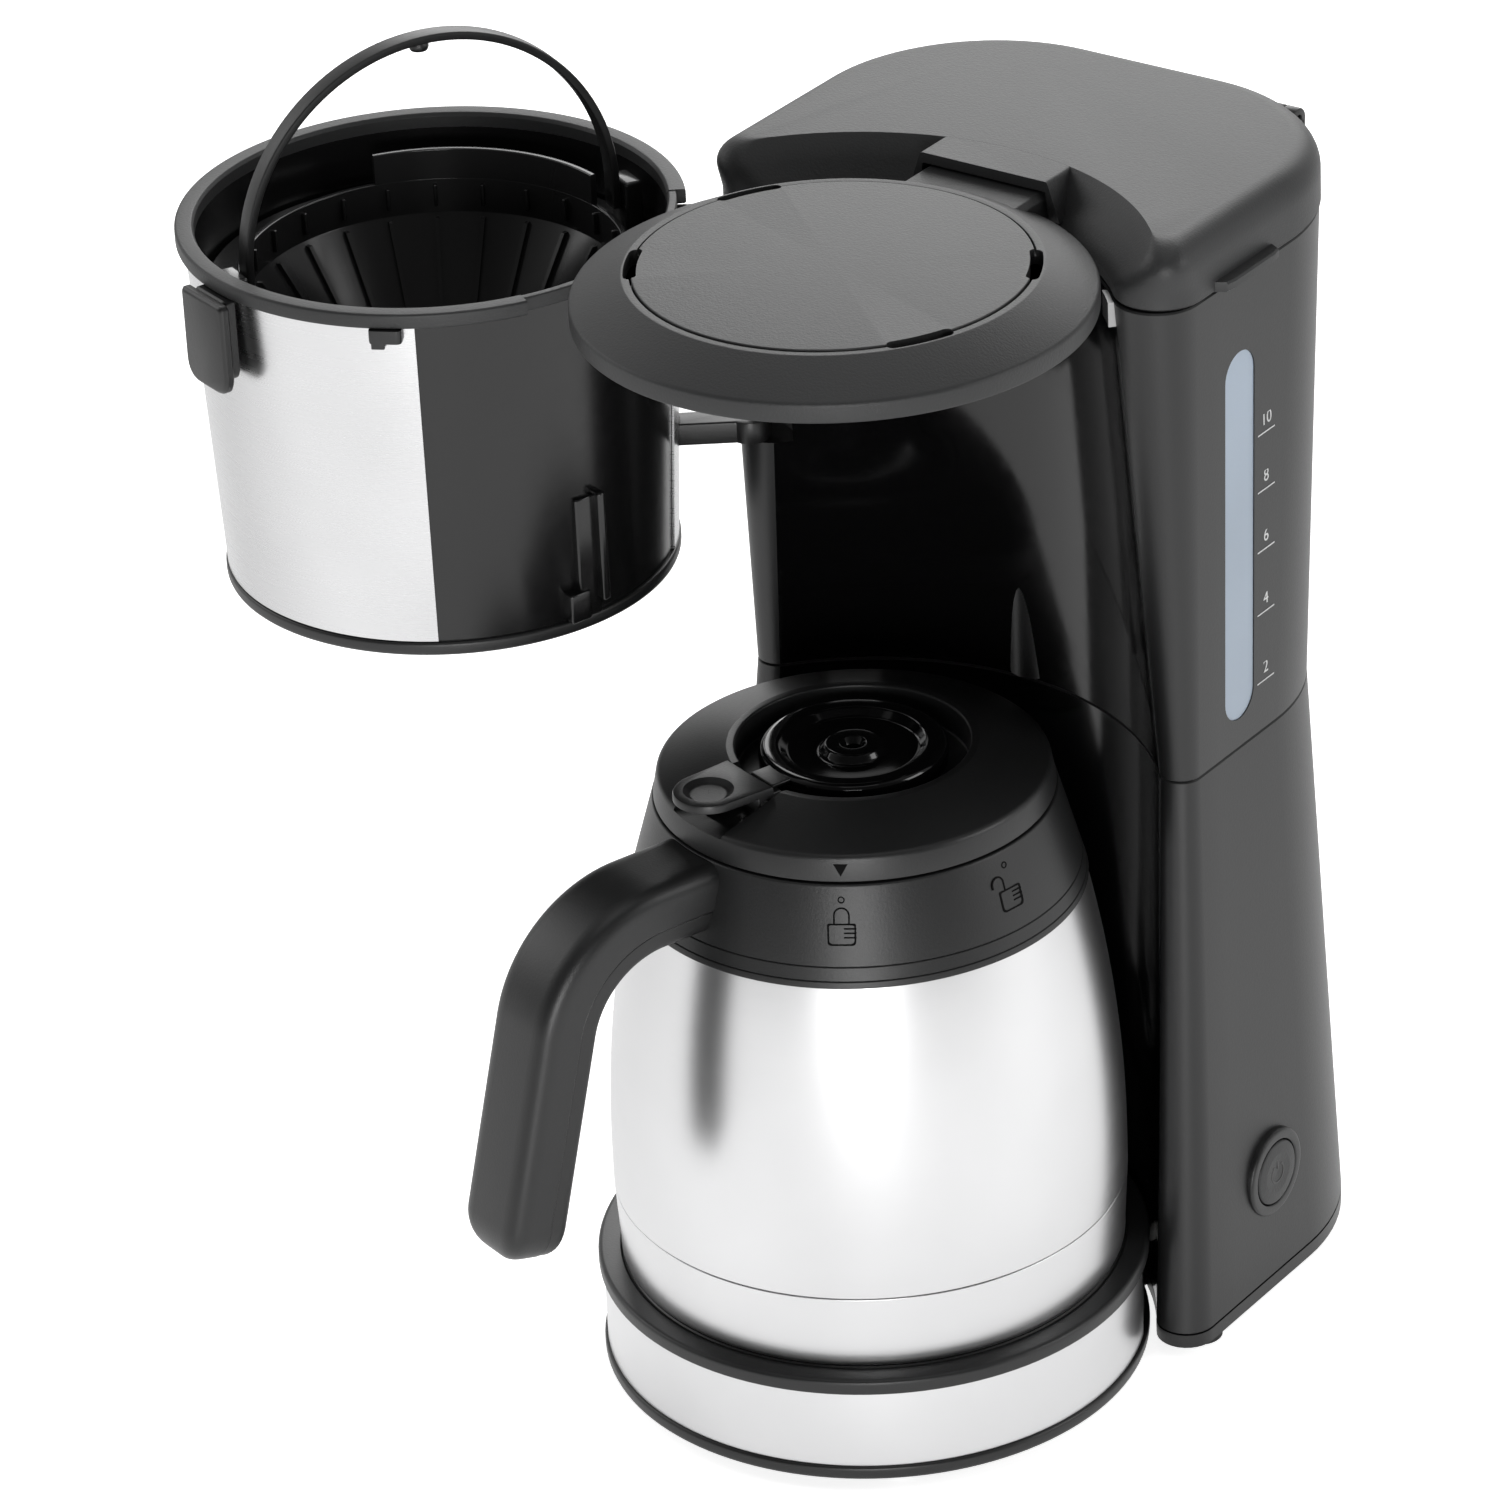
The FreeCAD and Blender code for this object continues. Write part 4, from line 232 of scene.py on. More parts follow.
WINDOW = Finish("frosted_window", "window_clear", (0.5, 0.59, 0.7), 0.3, Texture.CLEAR, bump=0.03,
                scale=400.0)
RUBBER = Finish("black_rubber", "rubber_black", (0.01, 0.01, 0.01), 0.75, Texture.GRAIN, bump=0.3)
SILICONE = Finish("pale_silicone", "silicone_pale", (0.6, 0.6, 0.58), 0.5, Texture.SATIN)
ALLOY = Finish("cast_alloy", "heater_alloy", (0.6, 0.6, 0.61), 0.45, Texture.GRAIN, metallic=1.0, bump=0.3)
BROWN = Finish("brown_moulding", "part_brown", (0.12, 0.05, 0.025), 0.3, Texture.GLOSS)
# Near-black, barely reflecting sheet for the engraved marks: painted shade that stands in for the shade
# inside the engraving.
ENGRAVING_SHADE = Finish("engraving_painted_shade", "plastic_satin", (0.003, 0.003, 0.003), 0.7, Texture.SATIN, specular=0.08)
WHITE = Finish("white_print", "plastic_satin", (0.7, 0.7, 0.7), 0.5, Texture.SATIN)


def start_fresh() -> None:
    """Leave edit mode and deselect everything."""
    if bpy.context.mode != "OBJECT":
        bpy.ops.object.mode_set(mode="OBJECT")
    bpy.ops.object.select_all(action="DESELECT")


def only(obj: Piece) -> None:
    """Make one object active and the only one selected.

    Args:
        obj: The object.
    """
    start_fresh()
    obj.select_set(True)
    bpy.context.view_layer.objects.active = obj


def circle(radius: float, height: float, count: int = 96, centre: Point = (0.0, 0.0)) -> Loop:
    """Points of a level circle, in millimetres.

    Args:
        radius: Circle radius.
        height: Its height.
        count: Number of points.
        centre: Where its axis stands.

    Returns:
        The points in turn.
    """
    turn = 2 * math.pi / count
    return [Vector((centre[0] + radius * math.cos(i * turn), centre[1] + radius * math.sin(i * turn), height))
            for i in range(count)]


def fillet(corners: Sequence[tuple], steps: int = 5) -> list[Point]:
    """Round the corners of a closed outline that give a third value, their radius.

    Args:
        corners: Vertices as (x, y) or (x, y, radius).
        steps: Points on each rounded corner.

    Returns:
        The finished outline.
    """
    out: list[Point] = []
    count = len(corners)
    for i, corner in enumerate(corners):
        here = Vector(corner[:2])
        if len(corner) < 3 or corner[2] <= 0:
            out.append((here.x, here.y))
            continue
        one = Vector(corners[i - 1][:2]) - here
        two = Vector(corners[(i + 1) % count][:2]) - here
        half = one.angle(two) / 2
        reach = min(corner[2] / math.tan(half), one.length * 0.49, two.length * 0.49)
        start, end = here + one.normalized() * reach, here + two.normalized() * reach
        for k in range(steps + 1):
            share = k / steps
            spot = start * (1 - share) ** 2 + here * 2 * share * (1 - share) + end * share ** 2
            out.append((spot.x, spot.y))
    return out


def loft(name: str, loops: Sequence[Loop], closed: bool = False) -> Piece:
    """Skin a run of matching loops: the first is drawn, then extruded to each of the others.

    Args:
        name: Name of the piece.
        loops: Loops with the same number of points, in millimetres.
        closed: Whether the last loop joins the first; otherwise both ends are capped.

    Returns:
        The new object.
    """
    start_fresh()
    bpy.ops.mesh.primitive_circle_add(vertices=len(loops[0]), radius=0.1)
    obj = bpy.context.object
    obj.name = name
    for vertex, spot in zip(obj.data.vertices, loops[0]):
        vertex.co = spot * MM
    bpy.ops.object.mode_set(mode="EDIT")
    bpy.ops.mesh.select_mode(type="VERT")
    bpy.ops.mesh.select_all(action="SELECT")
    if not closed:
        bpy.ops.mesh.edge_face_add()
        bpy.ops.mesh.select_mode(type="EDGE")
    before = loops[0]
    for loop in loops[1:]:
        bpy.ops.mesh.extrude_edges_move()
        mesh = bmesh.from_edit_mesh(obj.data)
        moved = {key(spot * MM): target * MM for spot, target in zip(before, loop)}
        for vertex in mesh.verts:
            if vertex.select:
                vertex.co = moved[key(vertex.co)]
        bmesh.update_edit_mesh(obj.data)
        before = loop
    if closed:
        bpy.ops.mesh.select_all(action="SELECT")
        mesh = bmesh.from_edit_mesh(obj.data)
        bridge_ends(mesh, loops[0], loops[-1])
        bmesh.update_edit_mesh(obj.data)
    else:
        bpy.ops.mesh.edge_face_add()
    clean(obj)
    return obj


def key(spot: Vector) -> tuple[int, int, int]:
    """Grid key of a point, to match a copied vertex with its source."""
    return tuple(round(c * KEY_GRID) for c in spot)


def bridge_ends(mesh: bmesh.types.BMesh, first: Loop, last: Loop) -> None:
    """Join the last loop of a closed skin to its first.

    Args:
        mesh: The mesh in edit mode.
        first: Points of the first loop.
        last: Points of the last loop.
    """
    spots = {key(v.co): v for v in mesh.verts}
    one = [spots[key(p * MM)] for p in first]
    two = [spots[key(p * MM)] for p in last]
    count = len(one)
    for i in range(count):
        after = (i + 1) % count
        mesh.faces.new((two[i], two[after], one[after], one[i]))


def clean(obj: Piece) -> None:
    """Merge doubles, turn the faces outwards and smooth by angle.

    Args:
        obj: The piece.
    """
    only(obj)
    bpy.ops.object.mode_set(mode="EDIT")
    bpy.ops.mesh.select_all(action="SELECT")
    bpy.ops.mesh.remove_doubles(threshold=MERGE_REACH)
    bpy.ops.mesh.normals_make_consistent(inside=False)
    bpy.ops.object.mode_set(mode="OBJECT")
    smooth(obj)


def smooth(obj: Piece) -> None:
    """Shade smooth, with sharp edges kept."""
    only(obj)
    bpy.ops.object.shade_smooth_by_angle(angle=SMOOTH_ANGLE)


def turned(angle: float, centre: Point = (0.0, 0.0)) -> Matrix:
    """Turn about an upright axis through the origin, then move that axis to its place.

    Args:
        angle: The turn in degrees.
        centre: Where the axis goes, in millimetres.

    Returns:
        The placement.
    """
    return Matrix.Translation(Vector((*centre, 0)) * MM) @ Matrix.Rotation(math.radians(angle), 4, "Z")


def facing(spot: Sequence[float], turn: float, tilt: float) -> Matrix:
    """Place a flat drawing on a wall: tilted up about X, turned about Z and moved.

    Args:
        spot: Where its origin goes, in millimetres.
        turn: Turn about Z in radians.
        tilt: Tilt about X in radians.

    Returns:
        The placement.
    """
    upright = Matrix.Rotation(turn, 4, "Z") @ Matrix.Rotation(tilt, 4, "X")
    return Matrix.Translation(Vector(spot) * MM) @ upright


def prism(name: str, ring: Sequence[Point], axis: str, levels: Sequence[float]) -> Piece:
    """Run a flat outline straight along one axis.

    Args:
        name: Name of the piece.
        ring: Outline in the other two axes, in their order.
        axis: The axis, as x, y or z.
        levels: Where it starts and ends.

    Returns:
        The prism.
    """
    place = "xyz".index(axis)
    return loft(name, [[Vector((*spot[:place], level, *spot[place:])) for spot in ring] for level in levels])


def lathe(name: str, corners: Sequence[tuple], centre: Point = (0.0, 0.0), steps: int = 128) -> Piece:
    """Spin a closed profile once round an upright axis.

    Args:
        name: Name of the piece.
        corners: Profile as (radius, height) or (radius, height, rounding), in millimetres.
        centre: Where the axis stands, in millimetres.
        steps: Faces round the axis.

    Returns:
        The new object.
    """
    profile = fillet(corners)
    start_fresh()
    bpy.ops.mesh.primitive_circle_add(vertices=len(profile), radius=0.1)
    obj = bpy.context.object
    obj.name = name
    for vertex, (radius, height) in zip(obj.data.vertices, profile):
        vertex.co = Vector((centre[0] + radius, centre[1], height)) * MM
    bpy.ops.object.mode_set(mode="EDIT")
    bpy.ops.mesh.select_all(action="SELECT")
    hub = (centre[0] * MM, centre[1] * MM, 0.0)
    bpy.ops.mesh.spin(steps=steps, angle=2 * math.pi, center=hub, axis=(0, 0, 1))
    clean(obj)
    return obj


def arc_sweep(name: str, corners: Sequence[tuple], start: float, end: float, centre: Point = (0.0, 0.0),
              steps: int = 96) -> Piece:
    """Run a closed profile part of the way round an upright axis.

    Args:
        name: Name of the piece.
        corners: Profile as (radius, height) or (radius, height, rounding).
        start: First angle in degrees.
        end: Last angle in degrees.
        centre: Where the axis stands.
        steps: Faces along the arc.

    Returns:
        The new object.
    """
    profile = fillet(corners)
    loops = []
    for i in range(steps + 1):
        turn = math.radians(start + (end - start) * i / steps)
        loops.append([Vector((centre[0] + r * math.cos(turn), centre[1] + r * math.sin(turn), z))
                      for r, z in profile])
    return loft(name, loops)


def slab(name: str, low: Sequence[float], high: Sequence[float], bevel: float = 0.4,
         turn: float = 0.0, centre: Point = (0.0, 0.0)) -> Piece:
    """Box with rounded edges, drawn along +X and turned about an upright axis.

    Args:
        name: Name of the piece.
        low: Lowest corner in millimetres.
        high: Highest corner in millimetres.
        bevel: Edge rounding.
        turn: Angle about the axis in degrees.
        centre: Where the axis stands.

    Returns:
        The new object.
    """
    start_fresh()
    middle = (Vector(low) + Vector(high)) / 2
    bpy.ops.mesh.primitive_cube_add(size=MM, location=(0, 0, 0))
    obj = bpy.context.object
    obj.name = name
    size = Vector(high) - Vector(low)
    for vertex in obj.data.vertices:
        vertex.co = Vector([vertex.co[i] * size[i] for i in range(3)]) + middle * MM
    bpy.ops.object.mode_set(mode="EDIT")
    bpy.ops.mesh.select_all(action="SELECT")
    if bevel > 0:
        bpy.ops.mesh.bevel(offset=bevel * MM, segments=3, affect="EDGES")
    bpy.ops.object.mode_set(mode="OBJECT")
    obj.data.transform(turned(turn, centre))
    clean(obj)
    return obj


def rod(name: str, base: Sequence[float], axis: Sequence[float], length: float, radius: float,
        bevel: float = 0.3, count: int = 48) -> Piece:
    """Round rod with bevelled ends.

    Args:
        name: Name of the piece.
        base: Centre of its first end in millimetres.
        axis: Direction it runs.
        length: Its length.
        radius: Its radius.
        bevel: Rounding of its ends.
        count: Faces round it.

    Returns:
        The new object.
    """
    frame_turn = Vector(axis).to_track_quat("Z", "Y").to_matrix().to_4x4()
    place = Matrix.Translation(Vector(base)) @ frame_turn
    soft = bevel * 0.3
    rings = [(radius - bevel, 0.0), (radius - soft, soft), (radius, bevel), (radius, length - bevel),
             (radius - soft, length - soft), (radius - bevel, length)]
    return loft(name, [[place @ spot for spot in circle(r, z, count)] for r, z in rings])


def boolean(obj: Piece, tool: Piece, kind: str = "DIFFERENCE") -> Piece:
    """Cut, join or intersect with a tool, which is then removed.

    Args:
        obj: The piece.
        tool: The cutter.
        kind: The Boolean operation.

    Returns:
        The piece.
    """
    only(obj)
    step = obj.modifiers.new("step", "BOOLEAN")
    step.operation = kind
    step.solver = "EXACT"
    step.object = tool
    bpy.ops.object.modifier_apply(modifier=step.name)
    bpy.data.objects.remove(tool, do_unlink=True)
    smooth(obj)
    return obj


def join(pieces: Sequence[Piece], name: str) -> Piece:
    """Join objects into one mesh object.

    Args:
        pieces: The objects.
        name: Name of the result.

    Returns:
        The joined object.
    """
    start_fresh()
    for piece in pieces:
        piece.select_set(True)
    bpy.context.view_layer.objects.active = pieces[0]
    bpy.ops.object.join()
    pieces[0].name = name
    return pieces[0]


def dress(obj: Piece, finish: Finish, body: str, nodes: Iterable[str] = ()) -> Piece:
    """Give a piece its finish, its body and the CAD nodes that it stands for.

    Args:
        obj: The piece.
        finish: Its finish.
        body: The body it rides on.
        nodes: CAD nodes that it replaces.

    Returns:
        The piece.
    """
    obj.data.materials.clear()
    obj.data.materials.append(finish.material())
    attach(obj, body)
    if nodes:
        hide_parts(*nodes)
    LOG.info("piece %s on %s, %d faces", obj.name, body, len(obj.data.polygons))
    return obj


def both_sides(near: float, far: float) -> tuple[Point, Point]:
    """The same span on either side of the middle plane, as (low, high) pairs."""
    return (near, far), (-far, -near)


def arc_points(centre: Point, radius: float, start: float, end: float, count: int) -> list[Point]:
    """Points along an arc, both ends included.

    Args:
        centre: Arc centre.
        radius: Arc radius.
        start: First angle in radians.
        end: Last angle in radians.
        count: Number of points.

    Returns:
        The points.
    """
    return [(centre[0] + radius * math.cos(start + (end - start) * i / (count - 1)),
             centre[1] + radius * math.sin(start + (end - start) * i / (count - 1))) for i in range(count)]


@dataclass(frozen=True)
class Outline:
    """Tower outline at one height: hollow front, front corners, straight sides and a round rear."""

    half: float
    rear: float
    bend: float
    hollow: float
    nose: float

    def mixed(self, other: "Outline", share: float) -> "Outline":
        """Outline part of the way to another.

        Args:
            other: The outline to move to.
            share: How far, from 0 to 1.

        Returns:
            The mixed outline.
        """
        pairs = ((self.half, other.half), (self.rear, other.rear), (self.bend, other.bend),
                 (self.hollow, other.hollow), (self.nose, other.nose))
        return Outline(*[a + (b - a) * share for a, b in pairs])

    def inset(self, depth: float) -> "Outline":
        """Outline moved inwards by a wall."""
        return Outline(self.half - depth, self.rear - depth, self.bend - depth, self.hollow + depth,
                       self.nose - depth)

    def loop(self, height: float) -> Loop:
        """Points of the outline at a height.

        Args:
            height: Height in millimetres.

        Returns:
            The points in turn.
        """
        nose_y = math.sqrt((self.hollow + self.nose) ** 2 - (self.half - self.nose) ** 2)
        nose = (self.half - self.nose, nose_y)
        toward = math.atan2(nose_y, self.half - self.nose)
        right = arc_points((0, 0), self.hollow, QUARTER, toward, 25)[:-1]
        right += arc_points(nose, self.nose, toward - math.pi, 0.0, 13)
        back = self.rear - self.bend
        right += [(self.half, nose_y + (back - nose_y) * share) for share in (0.25, 0.5, 0.75)]
        right += arc_points((self.half - self.bend, back), self.bend, 0.0, QUARTER, 25)
        left = [(-x, y) for x, y in reversed(right)]
        ring = right + left[:-1]
        return [Vector((x, y, height)) for x, y in ring]


LOW = Outline(83.2, 155.0, 60.0, 78.0, 8.5)
WAIST = Outline(72.5, 153.0, 56.0, 82.5, 6.0)
TOP = Outline(74.6, 155.2, 52.0, 72.7, 12.0)
FOOT_Z, BEAD_TOP, WAIST_Z, TOP_Z = 3.8, 8.0, 172.0, 313.0


def tower_outline(height: float) -> Outline:
    """Tower outline at a height, straight between its levels.

    Args:
        height: Height in millimetres.

    Returns:
        The outline there.
    """
    if height <= WAIST_Z:
        return LOW.mixed(WAIST, (height - BEAD_TOP) / (WAIST_Z - BEAD_TOP))
    return WAIST.mixed(TOP, (height - WAIST_Z) / (TOP_Z - WAIST_Z))


@dataclass
class Base:
    """Round base with its steel band and stand."""

    bead: float = 76.2
    band: float = 75.3
    sheet: float = 0.6
    band_top: float = 31.5
    stand: float = 76.6
    stand_top: float = 36.0
    bead_inner: float = 60.0
    groove: float = 73.2
    plate_top: float = 6.2
    rebate: float = 72.0

    def build(self) -> None:
        """Model and dress the base."""
        ring = lathe("bottom_bead", [(self.bead_inner, FOOT_Z), (self.bead, FOOT_Z, 1.6),
                                     (self.bead, BEAD_TOP, 1.2), (self.groove, BEAD_TOP),
                                     (self.groove, 6.3), (self.bead_inner, 6.3)])
        plate = loft("bottom_plate", [LOW.loop(FOOT_Z), LOW.loop(FOOT_Z + 0.5), LOW.loop(BEAD_TOP - 0.2)])
        under, edge = FOOT_Z + 0.01, self.bead_inner + 1
        disc = lathe("bottom_disc", [(AXIS, under), (edge, under), (edge, self.plate_top),
                                     (AXIS, self.plate_top)])
        bridge = slab("bottom_bridge", (-52, 38, FOOT_Z + 0.02), (52, 88, self.plate_top), 0)
        dress(join([ring, plate, disc, bridge], "base_bottom"), DARK, "machine", ["bottom_cover"])
        inner = self.band - self.sheet
        strip = [(inner, BEAD_TOP), (self.band, BEAD_TOP, 0.15), (self.band, self.band_top, 0.15),
                 (inner, self.band_top)]
        band = arc_sweep("base_steel_band", strip, -204, 24, steps=144)
        dress(band, STEEL, "machine", ["base_band"])
        top = lathe("stand_plate", [(AXIS, 33), (self.rebate, 33), (self.rebate, self.band_top),
                                    (self.stand, self.band_top, 0.8), (self.stand, self.stand_top, 1.4),
                                    (70.4, self.stand_top, 0.4),
                                    (70.0, 35.6, 0.3), (69.4, 35.6, 0.3), (69.0, self.stand_top, 0.3),
                                    (AXIS, self.stand_top)])
        dress(top, SATIN, "machine", ["carafe_stand"])


@dataclass
class Tower:
    """Lower housing, tank housing, window, button and the marks beside the window."""

    wall: float = 2.4
    hinge: Point = (-66.5, 50.0)
    recess: float = 12.0
    ledge: float = 243.0
    window_front: float = 71.0
    window_width: float = 14.5
    window_low: float = 181.0
    window_high: float = 291.0
    window_cut: Point = (60, 90)
    mark_middle: float = 91.5
    mark_size: float = 5.2
    button: Point = (79.0, 39.7)
    bezel: float = 13.0
    bezel_bore: float = 9.8
    bezel_face: float = 82.6
    cap: float = 9.5
    lug_low: float = 297.0
    lug_high: float = 305.2
    column_top: float = 317.5
    lid_hinge: Point = (159.6, 319.4)
    ear_back: float = 163.2

    def shell(self, name: str, low: float, high: float, edge: float = 0.45) -> Piece:
        """Open housing between two heights with softened edges.

        Args:
            name: Name of the piece.
            low: Lower edge.
            high: Upper edge.
            edge: Rounding of the outer edges.

        Returns:
            The housing.
        """
        rows = [(low, edge), (low + edge, 0.0)]
        steps = 6
        rows += [(low + (high - low) * i / steps, 0.0) for i in range(1, steps)]
        rows += [(high - edge, 0.0), (high, edge)]
        loops = [tower_outline(z).inset(depth).loop(z) for z, depth in rows]
        loops += [tower_outline(high).inset(self.wall).loop(high),
                  tower_outline(low).inset(self.wall).loop(low)]
        return loft(name, loops, closed=True)

    def core(self, name: str, depth: float, low: float, high: float) -> Piece:
        """Solid form of the tank housing, inset by a depth.

        Args:
            name: Name of the piece.
            depth: How far inside the outer face it lies.
            low: Lower end.
            high: Upper end.

        Returns:
            The solid.
        """
        return loft(name, [tower_outline(z).inset(depth).loop(z) for z in (low, high)])

    def window_tool(self, name: str, grow: float) -> Piece:
        """Capsule prism through the right wall.

        Args:
            name: Name of the tool.
            grow: How far its outline grows.

        Returns:
            The prism.
        """
        half = self.window_width / 2 + grow
        mid = self.window_front + self.window_width / 2
        low = self.window_low + self.window_width / 2
        high = self.window_high - self.window_width / 2
        ring = arc_points((mid, high), half, 0.0, math.pi, 17)
        ring += arc_points((mid, low), half, math.pi, 2 * math.pi, 17)
        return prism(name, ring, "x", self.window_cut)

    def build(self) -> None:
        """Model and dress the tower."""
        self.lower()
        self.upper()
        self.window()
        self.button_group()

    def lower(self) -> None:
        """Lower housing with the bezel's hole and a polished front."""
        body = self.shell("lower_body", BEAD_TOP, WAIST_Z)
        boolean(body, rod("bezel_hole", (60, *self.button), (1, 0, 0), 40, self.bezel))
        dress(body, SATIN, "machine", ["lower_housing"])
        self.gloss_front(body)

    def upper(self) -> None:
        """Tank housing with floor, column, hinge recess, lug and lid ears, and the pins above its ledge."""
        body = self.shell("tank_body", WAIST_Z + 0.01, TOP_Z)
        corner = rod("corner_post", (*self.hinge, WAIST_Z + 1), (0, 0, 1), TOP_Z - WAIST_Z - 1.2,
                     self.recess + self.wall, 0.05)
        boolean(corner, self.core("corner_core", 0.3, WAIST_Z, TOP_Z), "INTERSECT")
        boolean(body, corner, "UNION")
        boolean(body, rod("recess_tool", (*self.hinge, self.ledge), (0, 0, 1), 90, self.recess, 0.01))
        boolean(body, self.window_tool("window_hole", 0.0))
        inner = tower_outline(WAIST_Z).inset(self.wall - 0.1)
        floor = loft("tank_floor", [inner.loop(WAIST_Z + 0.2), inner.loop(WAIST_Z + 3.0)])
        column = lathe("column", [(4.6, WAIST_Z + 1), (7.5, WAIST_Z + 1), (7.5, self.column_top, 0.4),
                                  (4.6, self.column_top)], (0, 88), 48)
        x, y = self.hinge
        lug = rod("lug_eye", (x, y, self.lug_low), (0, 0, 1), self.lug_high - self.lug_low, 5.5)
        web = slab("lug_web", (x - 3.3, y, self.lug_low), (x + 3.3, 63.0, self.lug_high), 0.5)
        pieces = [body, floor, column, lug, web]
        for low, high in both_sides(38.0, 42.4):
            pieces.append(slab("ear_foot", (low, 146, 305.5), (high, self.ear_back, 312.6), 0.6))
            pieces.append(slab("ear_post", (low, 156, 308), (high, self.ear_back, self.lid_hinge[1]), 0.6))
            pieces.append(rod("ear_eye", (low, *self.lid_hinge), (1, 0, 0), 4.4, 3.6, 0.4))
        housing = dress(join(pieces, "tank_housing"), SATIN, "machine", ["upper_housing"])
        self.gloss_front(housing)
        pins = [rod("hinge_pin", (*self.hinge, low), (0, 0, 1), high - low, 1.95, 0.2, 32)
                for low, high in ((self.ledge, 250.0), (self.lug_low, 312.2))]
        dress(join(pins, "hinge_pin_pair"), PIN, "machine", ["hinge_pins"])

    def gloss_front(self, obj: Piece) -> None:
        """Polish the hollow front wall.

        Args:
            obj: A housing.
        """
        obj.data.materials.append(GLOSS.material())
        for face in obj.data.polygons:
            spot = face.center / MM
            reach = math.hypot(spot.x, spot.y)
            inward = -(face.normal.x * spot.x + face.normal.y * spot.y) / max(reach, 1.0)
            if inward > 0.97 and abs(reach - tower_outline(min(spot.z, TOP_Z)).hollow) < 0.8:
                face.material_index = 1

    def window(self) -> None:
        """Window pane, the number marks and their lines."""
        pane = self.core("window_blank", 0.35, WAIST_Z, TOP_Z)
        boolean(pane, self.core("window_hollow", self.wall, WAIST_Z - 1, TOP_Z + 1))
        boolean(pane, self.window_tool("window_form", -0.02), "INTERSECT")
        pane.name = "window_pane"
        dress(pane, WINDOW, "machine", ["water_window"])
        for word, height in (("10", 266), ("8", 249), ("6", 231), ("4", 212), ("2", 191)):
            self.mark(word, float(height))

    def mark(self, word: str, height: float) -> None:
        """Print one cup number and its line on the right wall.

        Args:
            word: The number.
            height: Height of its middle.
        """
        start_fresh()
        bpy.ops.object.text_add(location=(0, 0, 0))
        text = bpy.context.object
        text.data.body = word
        text.data.size = self.mark_size * MM
        text.data.extrude = 0.02 * MM
        text.data.align_x = "CENTER"
        text.data.align_y = "CENTER"
        bpy.ops.object.convert(target="MESH")
        text = bpy.context.object
        lean = math.atan2(TOP.half - WAIST.half, TOP_Z - WAIST_Z)
        face = tower_outline(height).half + 0.03
        text.data.transform(facing((face, self.mark_middle, height), QUARTER, QUARTER - lean))
        line = slab("mark_line", (face - 0.03, 87.2, height - 4.0), (face + 0.02, 95.6, height - 3.6), 0)
        dress(join([text, line], "mark_" + word), WHITE, "machine")

    def button_group(self) -> None:
        """Bezel and power button with its engraved symbol."""
        root = 73.0
        bezel = self.ringed("bezel_ring", [(self.bezel_bore, root), (self.bezel, root),
                                           (self.bezel, self.bezel_face, 1.1),
                                           (self.bezel_bore, self.bezel_face, 0.7)])
        dress(bezel, SATIN, "machine", ["button_bezel"])
        under = 76.6
        cap = self.ringed("button_cap", [(AXIS, under), (self.cap, under), (self.cap, 82.7, 0.8),
                                         (6.0, 83.0, 1.0), (AXIS, self.bezel_face)])
        dress(cap, GRAIN, "button", ["power_button"])
        symbol = arc_sweep("power_arc", [(2.7, 0.0), (3.3, 0.0), (3.3, 0.25), (2.7, 0.25)], 125, 415,
                           steps=40)
        bar = slab("power_bar", (-0.3, 1.4, 0.0), (0.3, 4.0, 0.25), 0)
        sign = join([symbol, bar], "power_symbol")
        sign.data.transform(facing((82.62, *self.button), QUARTER, QUARTER))
        dress(sign, GLOSS, "button")

    def ringed(self, name: str, corners: Sequence[tuple]) -> Piece:
        """Spin a profile about the button's level axis.

        Args:
            name: Name of the piece.
            corners: Profile as (radius, distance) or (radius, distance, rounding).

        Returns:
            The piece.
        """
        piece = lathe(name, corners, steps=96)
        place = Matrix.Translation(Vector((0, *self.button)) * MM)
        piece.data.transform(place @ Matrix.Rotation(QUARTER, 4, "Y"))
        return piece


